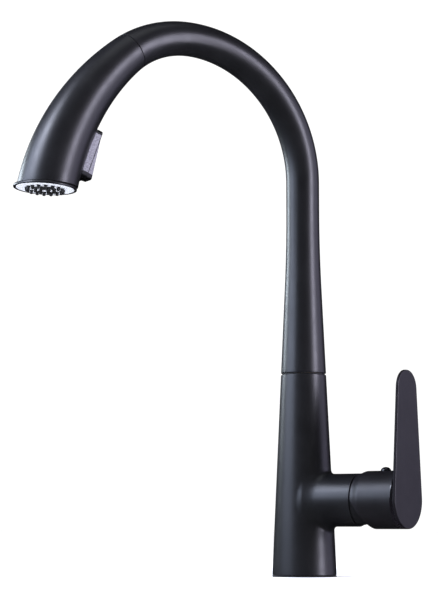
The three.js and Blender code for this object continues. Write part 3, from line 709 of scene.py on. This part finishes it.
def two_tone_with_painted_shade(name, first, last, low, high):
    """Satin grey plastic, moulded black past two stations along the button. Past two heights on it the grey
    is painted black as shade: a dark seam line at the frame's rim and at the rocker's foot where it comes out
    of the frame, and a dark line where the frame meets the head shell.
    """
    made = Surface(name, metallic=0.55)
    here = button_frame()
    ends = outside_band(made, here, 0, first, last)
    # black past the two heights is painted shade along the seams; black past the two stations is the moulded
    # black ends
    black = made.maths("MAXIMUM", ends, outside_band(made, here, 2, low, high))
    grain = made.noise(700, 5, (1, 1, 3))
    grey = made.ramp(grain, (0.10, 0.098, 0.112), (0.24, 0.235, 0.26), 0.15)
    blend = made.mix("RGBA", black, grey, (0.004, 0.004, 0.005, 1))
    made.link(blend, made.shader.inputs["Base Color"])
    made.roughness(grain, 0.34, 0.46)
    made.bump(grain, 0.006)
    return made.material


def plain_floor():
    made = Surface("pale_floor", specular=0.1)
    made.colour(made.noise(3, 2), (0.96, 0.96, 0.96), (0.98, 0.98, 0.98))
    made.roughness(made.noise(40, 2), 0.85, 0.95)
    return made.material


def braided_hose():
    """Black braided nylon: two families of strands that cross round the hose as it leaves the dock."""
    made = Surface("braided_nylon")
    neck = neck_frame()
    across, over, along = (
        made.component(neck.translation * MM, neck.to_3x3().col[axis]) for axis in range(3))
    strands = 12
    turns_per_metre = 190
    turn = made.maths("MULTIPLY", made.maths("ARCTAN2", over, across), strands)
    travel = made.maths("MULTIPLY", along, 2 * math.pi * turns_per_metre)
    right_hand = made.maths("SINE", made.maths("ADD", turn, travel))
    left_hand = made.maths("SINE", made.maths("SUBTRACT", turn, travel))
    weave = made.maths("MULTIPLY", made.maths("MULTIPLY", right_hand, left_hand), 0.5)
    lifted = made.maths("ADD", weave, 0.5)
    # painted shade and sheen: the colour is darker in the weave's hollows and lighter on its crests,
    # following its relief
    made.colour(lifted, (0.012, 0.012, 0.014), (0.07, 0.07, 0.075))
    made.roughness(lifted, 0.65, 0.5)
    made.bump(lifted, 0.35)
    return made.material


# ---------------- body casting

def blended_skin(points):
    """Signed distance to the column and branch joined by a soft fillet."""
    x, y, z = points[:, 0], points[:, 1], points[:, 2]
    column = (np.hypot(x, y) - skin_radius(z)) * math.cos(math.atan(TAPER))
    ease = np.clip(x / 10, 0, 1)  # keeps the branch from swelling the far side of the column
    branch = np.hypot(y, z - LEVER_HEIGHT) - BRANCH_RADIUS + FILLET * (1 - ease * ease * (3 - 2 * ease))
    near = np.maximum(FILLET - np.abs(column - branch), 0) / FILLET
    return np.minimum(column, branch) - near * near * FILLET / 4


def pulled_to_skin(points):
    """Moves points onto the blended skin, along its slope."""
    step = 0.01
    for _ in range(12):
        value = blended_skin(points)
        slope = np.stack([
            (blended_skin(points + axis) - blended_skin(points - axis)) / (2 * step)
            for axis in np.eye(3) * step
        ], -1)
        points = points - slope * (value / np.maximum((slope ** 2).sum(1), 1e-9))[:, None]
    return points


def column_profile():
    """Closed profile of the body as turned, and which of its points is the first beside the branch."""
    low, high = LEVER_HEIGHT - PATCH_REACH, LEVER_HEIGHT + PATCH_REACH
    corner = (skin_radius(BODY_BOTTOM), BODY_BOTTOM, FOOT_ROUNDING)
    outside = soften([(FOOT_START, BODY_BOTTOM), corner, (skin_radius(low), low)])
    outside = [tuple(point) for point in outside[:-1]]
    outside += [(float(skin_radius(z)), z) for z in np.linspace(BODY_BOTTOM + 4, low, 10, endpoint=False)]
    first = len(outside)
    outside += [(float(skin_radius(z)), z) for z in np.linspace(low, high, PATCH_ROWS + 1)]
    outside += [(float(skin_radius(z)), z) for z in np.linspace(high, BODY_TOP - 0.6, 16)[1:]]
    rim = float(skin_radius(BODY_TOP))
    outside += [(rim - 0.08, BODY_TOP - 0.25), (rim - 0.25, BODY_TOP - 0.08), (rim - 0.5, BODY_TOP)]
    inside = [
        (SPIGOT_BORE, BODY_TOP), (SPIGOT_BORE, SPIGOT_FLOOR + SPIGOT_BORE - WATERWAY),
        (WATERWAY, SPIGOT_FLOOR), (WATERWAY, SHANK_POCKET_TOP),
        (SHANK_POCKET, SHANK_POCKET_TOP), (SHANK_POCKET, BODY_BOTTOM),
    ]
    return np.array(outside + inside), first


def branch_patch(border, turn):
    """Rings of points from the opening's border in the column, along the branch and down into its pocket."""
    middle = float(skin_radius(LEVER_HEIGHT))
    around = np.arctan2(border[:, 2] - LEVER_HEIGHT, middle * turn)
    branch_y = BRANCH_RADIUS * np.cos(around)
    branch_z = LEVER_HEIGHT + BRANCH_RADIUS * np.sin(around)
    junction_x = np.sqrt(skin_radius(branch_z) ** 2 - branch_y ** 2)
    junction_turn = np.arctan2(branch_y, junction_x)
    patch = [border]
    for t in 1 - (1 - np.linspace(0, 1, 21)[1:]) ** 1.5:
        z = border[:, 2] + (branch_z - border[:, 2]) * t
        angle = turn + (junction_turn - turn) * t
        radius = skin_radius(z)
        patch.append(pulled_to_skin(np.stack([radius * np.cos(angle), radius * np.sin(angle), z], -1)))
    for t in np.linspace(0, 1, 19)[1:] ** 1.5:
        x = junction_x + (BRANCH_END - 0.5 - junction_x) * t
        patch.append(pulled_to_skin(np.stack([x, branch_y, branch_z], -1)))
    rim_and_pocket = (
        (BRANCH_RADIUS - 0.08, BRANCH_END - 0.2), (BRANCH_RADIUS - 0.25, BRANCH_END - 0.06),
        (BRANCH_RADIUS - 0.5, BRANCH_END), (POCKET_RADIUS, BRANCH_END), (POCKET_RADIUS, POCKET_FLOOR),
    )
    for radius, x in rim_and_pocket:
        scale = radius / BRANCH_RADIUS
        z = LEVER_HEIGHT + (branch_z - LEVER_HEIGHT) * scale
        patch.append(np.stack([x + 0 * around, branch_y * scale, z], -1))
    return np.array(patch)


def body_casting():
    """The turned column with an opening in its skin, which a patch closes with the branch."""
    profile, first = column_profile()
    rings = turned_rings(profile, BODY_COLUMNS)
    vertices = rings.reshape(-1, 3)
    faces = []
    for index, face in enumerate(strip_faces(len(rings), BODY_COLUMNS, loop=True)):
        row, column = divmod(index, BODY_COLUMNS)
        beside_branch = column < PATCH_COLUMNS or column >= BODY_COLUMNS - PATCH_COLUMNS
        if not (first <= row < first + PATCH_ROWS and beside_branch):
            faces.append(face)
    edge = [(first, c) for c in range(-PATCH_COLUMNS, PATCH_COLUMNS)]
    edge += [(first + r, PATCH_COLUMNS) for r in range(PATCH_ROWS)]
    edge += [(first + PATCH_ROWS, c) for c in range(PATCH_COLUMNS, -PATCH_COLUMNS, -1)]
    edge += [(first + r, -PATCH_COLUMNS) for r in range(PATCH_ROWS, 0, -1)]
    border = np.array([rings[r, c % BODY_COLUMNS] for r, c in edge])
    turn = np.array([c for _, c in edge]) * 2 * math.pi / BODY_COLUMNS
    patch = branch_patch(border, turn)
    start = len(vertices)
    faces += strip_faces(len(patch), len(border), start=start)
    floor = start + (len(patch) - 1) * len(border)
    faces.append(tuple(range(floor, floor + len(border))))
    return mesh_from("body", np.vstack([vertices, patch.reshape(-1, 3)]), faces)


# ---------------- base and mounting hardware

def threaded_tube(name, crest, depth, pitch, bore, low, high, sides=72, per_turn=6):
    """A tube with a real helical thread on its outside, run out smoothly at both ends."""
    heights = np.arange(low, high + 1e-6, pitch / per_turn)
    angles = np.linspace(0, 2 * math.pi, sides, endpoint=False)
    phase = (heights[:, None] / pitch - angles / (2 * math.pi)) % 1
    wave = np.clip(1.5 - np.abs(phase - 0.5) * 4, 0, 1)
    fade = np.clip(np.minimum(heights - low, high - heights) / pitch, 0, 1)[:, None]
    radius = crest - depth + depth * wave * fade
    outside = np.stack([radius * np.cos(angles), radius * np.sin(angles), heights[:, None] + 0 * angles], -1)
    inside = turned_rings([(bore, heights[-1]), (bore, heights[0])], sides)
    return loft(name, np.vstack([outside, inside]), loop=True)


def ring_piece(name, inner, outer, low, high, rounding):
    return turned(name, [
        (inner, low, rounding), (outer, low, rounding), (outer, high, rounding), (inner, high, rounding),
    ], 96, loop=True)


def clamp_screw(name):
    """Slotted screw, its head down and its tip up against the steel washer."""
    screw = turned(name, [
        (3.6, CLAMP_SCREW_BOTTOM, 0.4), (4.2, CLAMP_SCREW_BOTTOM, 0.5), (4.2, CLAMP_HEAD_TOP, 0.3),
        (2.0, CLAMP_HEAD_TOP, 0), (2.0, CLAMP_SCREW_TIP, 0.4), (0.4, CLAMP_SCREW_TIP, 0),
    ], 48)
    slot = box_piece("slot", (-0.6, -5, CLAMP_SCREW_BOTTOM - 0.8), (0.6, 5, CLAMP_SCREW_BOTTOM + 1.2))
    return boolean(screw, slot)


def nut_piece():
    """Hexagonal nut whose top and bottom corners are turned off, with two holes for the clamp screws."""
    angles = np.linspace(0, 2 * math.pi, 6, endpoint=False)
    hexagon = resampled(NUT_CORNER * np.stack([np.cos(angles), np.sin(angles)], -1), 2.0)
    reach = np.linalg.norm(hexagon, axis=1)
    rings = []
    turned_off = ((0, 1.6), (0.8, 0.4), (1.2, 0))  # distance from the face, and what the corner loses
    levels = [(NUT_BOTTOM + rise, loss) for rise, loss in turned_off]
    levels += [(NUT_TOP - rise, loss) for rise, loss in reversed(turned_off)]
    for z, loss in levels:
        limit = NUT_CORNER - loss
        scale = np.minimum(reach, limit) / reach
        rings.append(np.column_stack([hexagon * scale[:, None], np.full(len(hexagon), z)]))
    nut = loft("nut", rings)
    below, above = NUT_BOTTOM - 4, NUT_TOP + 6
    boolean(nut, turned("bore", [(NUT_BORE, below), (NUT_BORE, above)], 72))
    for side in (-1, 1):
        hole = turned("hole", [(CLAMP_HOLE, below), (CLAMP_HOLE, above)], 32)
        boolean(nut, moved(hole, shift(side * CLAMP_CIRCLE, 0, 0)))
    return nut


def make_base(looks):
    finish_piece(body_casting(), "base", looks["satin_black"], "body_casting")
    gasket = ring_piece("gasket", GASKET_BORE, GASKET_RADIUS, 0, GASKET_TOP, 0.2)
    finish_piece(gasket, "base", looks["rubber"], "base_gasket")
    shank = threaded_tube(
        "shank", SHANK_RADIUS, THREAD_DEPTH, THREAD_PITCH, SHANK_BORE, SHANK_BOTTOM, SHANK_POCKET_TOP - GAP)
    finish_piece(shank, "base", looks["brass"], "mounting_shank")
    rubber = ring_piece("rubber_washer", WASHER_HOLE, WASHER_RADIUS, *RUBBER_WASHER, 0.5)
    finish_piece(rubber, "base", looks["rubber"], "deck_rubber_washer")
    steel = ring_piece("steel_washer", WASHER_HOLE, WASHER_RADIUS, *STEEL_WASHER, 0.3)
    finish_piece(steel, "base", looks["steel"], "deck_steel_washer")
    finish_piece(nut_piece(), "base", looks["brass"], "mounting_nut")
    for number, side in ((1, -1), (2, 1)):
        screw = moved(clamp_screw(f"clamp_bolt_{number}"), shift(side * CLAMP_CIRCLE, 0, 0))
        finish_piece(screw, "base", looks["steel"], f"clamp_screw_{number}")


# ---------------- lever

def blade_outline():
    """The hub's circle, two sides that close a little towards the tip, and two round corners there."""
    corner_height = BLADE_TIP - BLADE_TIP_RADIUS
    reach = HUB_RADIUS / math.cos(BLADE_TAPER) - corner_height * math.tan(BLADE_TAPER)
    corner_centre = reach - BLADE_TIP_RADIUS / math.cos(BLADE_TAPER)
    arcs = [
        (0, 0, HUB_RADIUS, math.pi - BLADE_TAPER, 2 * math.pi + BLADE_TAPER, 80),
        (corner_centre, corner_height, BLADE_TIP_RADIUS, BLADE_TAPER, math.pi / 2, 20),
        (-corner_centre, corner_height, BLADE_TIP_RADIUS, math.pi / 2, math.pi - BLADE_TAPER, 20),
    ]
    points = []
    for x, y, radius, start, end, steps in arcs:
        angles = np.linspace(start, end, steps)
        points += [(x + radius * math.cos(a), y + radius * math.sin(a)) for a in angles]
    return resampled(np.array(points) * (BLADE_BREADTH, 1), 3.0)


def lever_hub():
    """The hub as turned: a deep bore over the dome, and a shoulder that eases out to its full radius."""
    shoulder = [
        (BRANCH_RADIUS + (HUB_RADIUS - BRANCH_RADIUS) * (1 - math.cos(math.pi * t)) / 2,
         HUB_RIM + 0.5 + (HUB_SHOULDER - HUB_RIM - 0.5) * t)
        for t in np.linspace(0, 1, 16)
    ]
    hub = turned("lever", [
        (0.5, HUB_BORE_DEPTH), (HUB_BORE, HUB_BORE_DEPTH), (HUB_BORE, HUB_RIM, 0.2),
        (BRANCH_RADIUS - 0.1, HUB_RIM, 0.5), *shoulder, (HUB_RADIUS, HUB_END + 1.5), (0.5, HUB_END + 1.5),
    ], 160)
    return moved(hub, ALONG_X)


def lever_notch():
    """The round groove between hub and blade, deeper above than below."""
    angles = np.linspace(0, 2 * math.pi, 24, endpoint=False)
    radius = HUB_RADIUS + 0.4 + NOTCH_RADIUS * np.cos(angles)
    rings = turned_rings(np.column_stack([radius, NOTCH_RADIUS * np.sin(angles)]), 160)
    return moved(loft("notch", rings, loop=True), shift(HUB_END - NOTCH_RADIUS, 0, -2.2) @ ALONG_X)


def lever_handle():
    hub = lever_hub()
    blade = slab("blade", blade_outline(), HUB_END, HUB_END + BLADE_THICKNESS, 0.7)
    moved(blade, Matrix(((0, 0, 1, 0), (1, 0, 0, 0), (0, 1, 0, 0), (0, 0, 0, 1))))
    boolean(hub, blade, "UNION")
    boolean(hub, lever_notch())
    boolean(hub, box_piece("socket", (10, -SOCKET_HALF, -SOCKET_HALF), (31, SOCKET_HALF, SOCKET_HALF)))
    at_screw = shift(SCREW_REACH, 0, 0)
    boolean(hub, moved(turned("screw_hole", [(SCREW_HOLE, 0), (SCREW_HOLE, 20)], 32), at_screw))
    seat = PLUG_RADIUS + 0.2
    boolean(hub, moved(turned("seat", [(seat, PLUG_SEAT), (seat, 30)], 48), at_screw))
    relief = box_piece("relief", (-20, -30, -40), (0, 30, 0))
    moved(relief, shift(HUB_RIM, 0, 0) @ Matrix.Rotation(-RELIEF_ANGLE, 4, "Y"))
    boolean(hub, relief)
    return moved(hub, ON_PIVOT)


def ball_outline(radius, from_angle, to_angle, steps):
    """An arc of the ball round the lever's pivot, as points of (radius, distance along the branch)."""
    angles = np.linspace(from_angle, to_angle, steps)
    return [(radius * math.sin(a), PIVOT + radius * math.cos(a)) for a in angles]


def make_lever(looks):
    finish_piece(lever_handle(), "lever", looks["lever_black"], "lever_handle")
    inner = DOME_RADIUS - DOME_WALL
    dome = [
        *ball_outline(DOME_RADIUS, math.asin(DOME_HOLE / DOME_RADIUS), math.pi / 2, 24),
        (DOME_SKIRT, PIVOT), (DOME_SKIRT, DOME_SKIRT_END),
        (DOME_SKIRT_BORE, DOME_SKIRT_END), (DOME_SKIRT_BORE, PIVOT - 1),
        *ball_outline(inner, math.pi / 2, math.asin(DOME_HOLE / inner), 12),
    ]
    cap = moved(turned("dome", dome, 128, loop=True), ON_LEVER_AXIS)
    finish_piece(cap, "base", looks["satin_black"], "dome_cap")
    crown = [
        (PLUG_RADIUS * math.cos(a), HUB_RADIUS - 0.1 + PLUG_CROWN * math.sin(a))
        for a in np.linspace(0, math.pi / 2 * 0.97, 14)
    ]
    plug = turned("plug", [(0.5, PLUG_SEAT + GAP), (PLUG_RADIUS, PLUG_SEAT + GAP), *crown], 64)
    moved(plug, shift(PIVOT + SCREW_REACH, 0, LEVER_HEIGHT))
    finish_piece(plug, "lever", looks["gloss_black"], "screw_plug")


# ---------------- spout

def tube_bore(station):
    return skin_radius(station) - TUBE_WALL


def dock_fit(station):
    return tube_bore(station) - DOCK_CLEARANCE


def make_spout(looks):
    dock_end = HEAD_SEAM - GAP / 2
    profile = tube_profile(SPOUT_BOTTOM, dock_end, skin_radius, tube_bore, 2.6, 0.45)
    tube = loft("spout", bent(turned_rings(profile, 128)), loop=True)
    finish_piece(moved(tube, IN_SPOUT), "spout", looks["satin_black"], "spout_tube")
    ring = ring_piece(
        "glide_ring", GLIDE_RING_BORE, GLIDE_RING_RADIUS, BODY_TOP + GAP, SPOUT_BOTTOM - GAP, 0.15)
    finish_piece(ring, "spout", looks["black_plastic"], "spout_glide_ring")
    dock_start = HEAD_SEAM - DOCK_DEPTH
    profile = tube_profile(dock_start, dock_end, dock_fit, lambda station: DOCK_BORE, 2, 0.4)
    collar = loft("collar", bent(turned_rings(profile, 96)), loop=True)
    finish_piece(moved(collar, IN_SPOUT), "spout", looks["black_plastic"], "dock_collar")


def hose(looks, name, start, end, rings):
    """One stretch of the pull-out hose, along the spout's centreline."""
    stations = np.linspace(start, end, rings)
    thing = moved(loft(name, bent(turned_rings([(HOSE_RADIUS, s) for s in stations], 48))), IN_SPOUT)
    smooth(thing)
    thing.data.materials.append(looks["braid"])
    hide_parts("pullout_hose")
    return thing


def make_hose(looks):
    """The hose in the spout hangs on the spout; its last stretch, up to the dock, is built apart and hung on
    no body.
    """
    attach(hose(looks, "hose_in_spout", HOSE_START, HOSE_SPLIT, 220), "spout")
    end_of_hose = hose(looks, "hose_at_dock", HOSE_SPLIT, HOSE_END, 90)
    neck = neck_frame()
    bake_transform(end_of_hose)


# ---------------- spray head

def head_shell():
    """Curved shell that ends on the plane of the spray face, with a window for the button."""
    sides = 144
    angles = np.linspace(0, 2 * math.pi, sides, endpoint=False)
    face = IN_SPOUT.inverted() @ face_frame()
    normal = np.array(face.to_3x3().col[2])
    origin = np.array(face.translation) - normal * SHELL_CUT

    def at(station, inset):
        """A ring of points under the skin by an inset, each at a station of its own."""
        radius = skin_radius(station) - inset
        ring = np.stack([radius * np.cos(angles), radius * np.sin(angles), station], -1)
        return bent(ring)

    def last_station(inset):
        """Where each of the ring's points meets the face's plane."""
        low, high = np.full(sides, FACE_STATION - 20), np.full(sides, FACE_STATION + 14)
        for _ in range(40):
            middle = (low + high) / 2
            below = (at(middle, inset) - origin) @ normal > 0
            high, low = np.where(below, middle, high), np.where(below, low, middle)
        return (low + high) / 2

    start = HEAD_SEAM + GAP / 2
    outer_end, inner_end = last_station(0), last_station(SHELL_WALL)
    rim = 0.4
    rings = [at(np.full(sides, start), rim), at(np.full(sides, start + rim * 0.3), rim * 0.3)]
    rings += [at(start + rim + (outer_end - rim - start - rim) * t, 0) for t in np.linspace(0, 1, 60)]
    rings += [at(outer_end - rim * 0.3, rim * 0.3), at(last_station(rim), rim)]
    rings += [at(inner_end + (start - inner_end) * t, SHELL_WALL) for t in np.linspace(0, 1, 40)]
    shell = moved(loft("head", rings, loop=True), IN_SPOUT)
    window = slab("window", rounded_box_outline(*WINDOW, 2.5), -12, 12, 0.01)
    return boolean(shell, moved(window, button_frame()))


def head_skin(name, extra):
    """A solid of the head's outer shape, grown by a little."""
    stations = np.linspace(BUTTON_STATION - 40, FACE_STATION + 6, 40)
    rings = turned_rings([(float(skin_radius(s)) + extra, s) for s in stations], 144)
    return moved(loft(name, bent(rings)), IN_SPOUT)


def make_button(looks):
    """The grey frame, fitted to the head's skin, and the rocker that tilts in it."""
    here = button_frame()
    outline = resampled(rounded_box_outline(-BUTTON_HALF, BUTTON_HALF, BUTTON_HALF_WIDTH, 3.2), 2)
    surround = moved(slab("button_surround", outline, SURROUND_BACK, BUTTON_RIM, 0.5), here)
    boolean(surround, head_skin("skin", GAP))
    neck = slab("neck", rounded_box_outline(*NECK, 2.2), BUTTON_FOOT, -0.2, 0.2)
    boolean(surround, moved(neck, here), "UNION")
    opening = rounded_box_outline(
        ROCKER_TOP - ROCKER_CLEARANCE, ROCKER_BOTTOM + ROCKER_CLEARANCE,
        ROCKER_HALF_WIDTH + ROCKER_CLEARANCE, 2.0)
    boolean(surround, moved(slab("recess", opening, BUTTON_FLOOR, BUTTON_RIM + 1, 0.05), here))
    boolean(surround, moved(pin_hole(1.0, 7.7), here))
    finish_piece(surround, "head", looks["button_frame"], "button_frame")
    rocker = moved(rocker_piece(), here @ Matrix.Rotation(-ROCKER_TILT, 4, "Y"))
    finish_piece(rocker, "rocker", looks["rocker"], "rocker_button")


def pin_hole(radius, reach):
    return moved(turned("pin_hole", [(radius, -reach), (radius, reach)], 24), ACROSS)


def rocker_piece():
    """Pad of the rocker, with three shallow grip grooves across each end."""
    outline = resampled(rounded_box_outline(ROCKER_TOP, ROCKER_BOTTOM, ROCKER_HALF_WIDTH, 1.8), 1.5)
    rocker = slab("rocker_pad", outline, ROCKER_BACK, ROCKER_FACE, 0.6)
    for x in GRIP_GROOVES:
        groove = moved(turned("groove", [(0.55, -4.2, 0.5), (0.55, 4.2, 0.5)], 20), ACROSS)
        boolean(rocker, moved(groove, shift(x, 0, ROCKER_FACE + 0.15)))
    return boolean(rocker, pin_hole(1.1, 12))


def nozzle_centres():
    return [
        (radius * math.cos(2 * math.pi * i / count), radius * math.sin(2 * math.pi * i / count))
        for radius, count in NOZZLE_RINGS for i in range(count)
    ]


def joined(name, things):
    """Several closed skins that don't touch, as one mesh."""
    work = bmesh.new()
    for thing in things:
        work.from_mesh(thing.data)
        bpy.data.objects.remove(thing)
    mesh = bpy.data.meshes.new(name)
    work.to_mesh(mesh)
    work.free()
    return link(name, mesh)


def make_bezel(looks):
    back = GAP - SHELL_CUT
    bezel = turned("bezel", [
        (MAT_RADIUS + 0.4, -7), (MAT_RADIUS + 1.2, -7), (MAT_RADIUS + 1.2, back),
        (BEZEL_RADIUS - 0.7, back, 0.5), (BEZEL_RADIUS, -1.0, 0.6), (BEZEL_RADIUS - 0.1, 0, 0.5),
        (PLATE_RADIUS + 0.4, 0, 0.3), (PLATE_RADIUS + 0.3, -1.6), (MAT_RADIUS + 0.4, -1.6),
    ], 160, loop=True)
    finish_piece(moved(bezel, face_frame()), "head", looks["satin_black"], "face_bezel")


def make_plate(looks):
    """The silver plate, with a countersunk hole for each nozzle."""
    plate = turned("spray_face", [
        (MAT_BORE, -1.3), (PLATE_RADIUS, -1.3, 0.2), (PLATE_RADIUS, -0.2, 0.35), (MAT_BORE, -0.2, 0.3),
    ], 128, loop=True)
    holes = [
        moved(turned("hole", [(1.8, -3), (1.8, -0.55, 0.2), (2.3, 0.2)], 24), shift(x, y, 0))
        for x, y in nozzle_centres()
    ]
    boolean(plate, joined("holes", holes))
    finish_piece(moved(plate, face_frame()), "head", looks["face_silver"], "spray_plate")


def make_mat(looks):
    """The rubber mat behind the plate, whose nozzles stand through the holes."""
    mat = turned("mat", [
        (MAT_BORE, -4), (MAT_RADIUS, -4, 0.3), (MAT_RADIUS, -1.6, 0.3), (MAT_BORE, -1.6),
    ], 96, loop=True)
    nozzle = [(1.5, -3), (1.5, -0.2, 0.3), (1.15, 2.7, 0.35), (0.5, 2.8, 0.1), (0.35, 1.8)]
    nubs = [moved(turned("nub", nozzle, 24), shift(x, y, 0)) for x, y in nozzle_centres()]
    boolean(mat, joined("nubs", nubs), "UNION")
    finish_piece(moved(mat, face_frame()), "head", looks["rubber"], "nozzle_mat")


def make_aerator(looks):
    cup = turned("aerator_cup", [
        (0.5, -9), (4.9, -9), (4.9, -0.1, 0.3), (4.0, 0.2, 0.4), (3.7, -0.4, 0.2), (3.7, -3), (0.5, -3),
    ], 72)
    finish_piece(moved(cup, face_frame()), "head", looks["black_plastic"], "aerator")


def make_head(looks):
    finish_piece(head_shell(), "head", looks["satin_black"], "head_shell")
    neck = turned("neck_sleeve", [
        (7.6, -9, 0.3), (9.0, -9, 0.8), (9.8, -0.4), (9.8, 0.6), (12.4, 0.6, 0.3), (12.4, 4, 0.5),
        (11.0, 5.6), (11.0, 14), (7.6, 14),
    ], 96, loop=True)
    finish_piece(moved(neck, neck_frame()), "head", looks["black_plastic"], "head_neck")
    make_button(looks)
    make_bezel(looks)
    make_plate(looks)
    make_mat(looks)
    make_aerator(looks)


# ---------------- assembly

def make_looks():
    return {
        "satin_black": satin_black(),
        "lever_black": lever_black(),
        "gloss_black": gloss_black(),
        "black_plastic": moulded("black_plastic", (0.012, 0.012, 0.013), (0.022, 0.022, 0.024), (0.45, 0.55)),
        # the last two heights of each set where painted shade lies: seam lines at the frame's rim, at the
        # rocker's foot and where the frame meets the head
        "button_frame": two_tone_with_painted_shade("button_frame_plastic", -16.8, 15.2, -5.2, BUTTON_RIM - 0.75),
        "rocker": two_tone_with_painted_shade("rocker_plastic", -13.0, 14.6, BUTTON_RIM + 0.2, 20),
        "white_plastic": moulded("white_plastic", (0.72, 0.72, 0.70), (0.80, 0.80, 0.78), (0.3, 0.4)),
        "face_silver": brushed(
            "silver_face", (0.84, 0.85, 0.87), (0.92, 0.93, 0.95), (0.2, 0.3),
            metallic=0.25, stretch=(1, 1, 1), scale=400, depth=0.002),
        "rubber": moulded("black_rubber", (0.008, 0.008, 0.009), (0.016, 0.016, 0.017), (0.55, 0.7), 0.02),
        "brass": brushed("machined_brass", (0.45, 0.30, 0.12), (0.62, 0.44, 0.19), (0.22, 0.36)),
        "steel": brushed("turned_steel", (0.42, 0.43, 0.44), (0.58, 0.59, 0.60), (0.22, 0.36)),
        "braid": braided_hose(),
    }


CARRIED_OVER = {
    "white_plastic": ("valve_cartridge", "cartridge_cam"),
    "brass": ("cartridge_nut", "spout_spigot", "hose_union"),
    "steel": ("cam_pin", "lever_stem", "set_screw", "dock_magnet", "rocker_pin"),
    "rubber": ("spout_o_ring_1", "spout_o_ring_2"),
    "black_plastic": ("head_core", "diverter_disc"),
}


def dress_carried_over(looks):
    """Inner CAD pieces keep their shape and get a finish."""
    for look_name, nodes in CARRIED_OVER.items():
        for name in nodes:
            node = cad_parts[name]
            node.data.materials.clear()
            node.data.materials.append(looks[look_name])


make_camera()
make_studio()
make_floor()
looks = make_looks()
make_base(looks)
make_lever(looks)
make_spout(looks)
make_hose(looks)
make_head(looks)
dress_carried_over(looks)
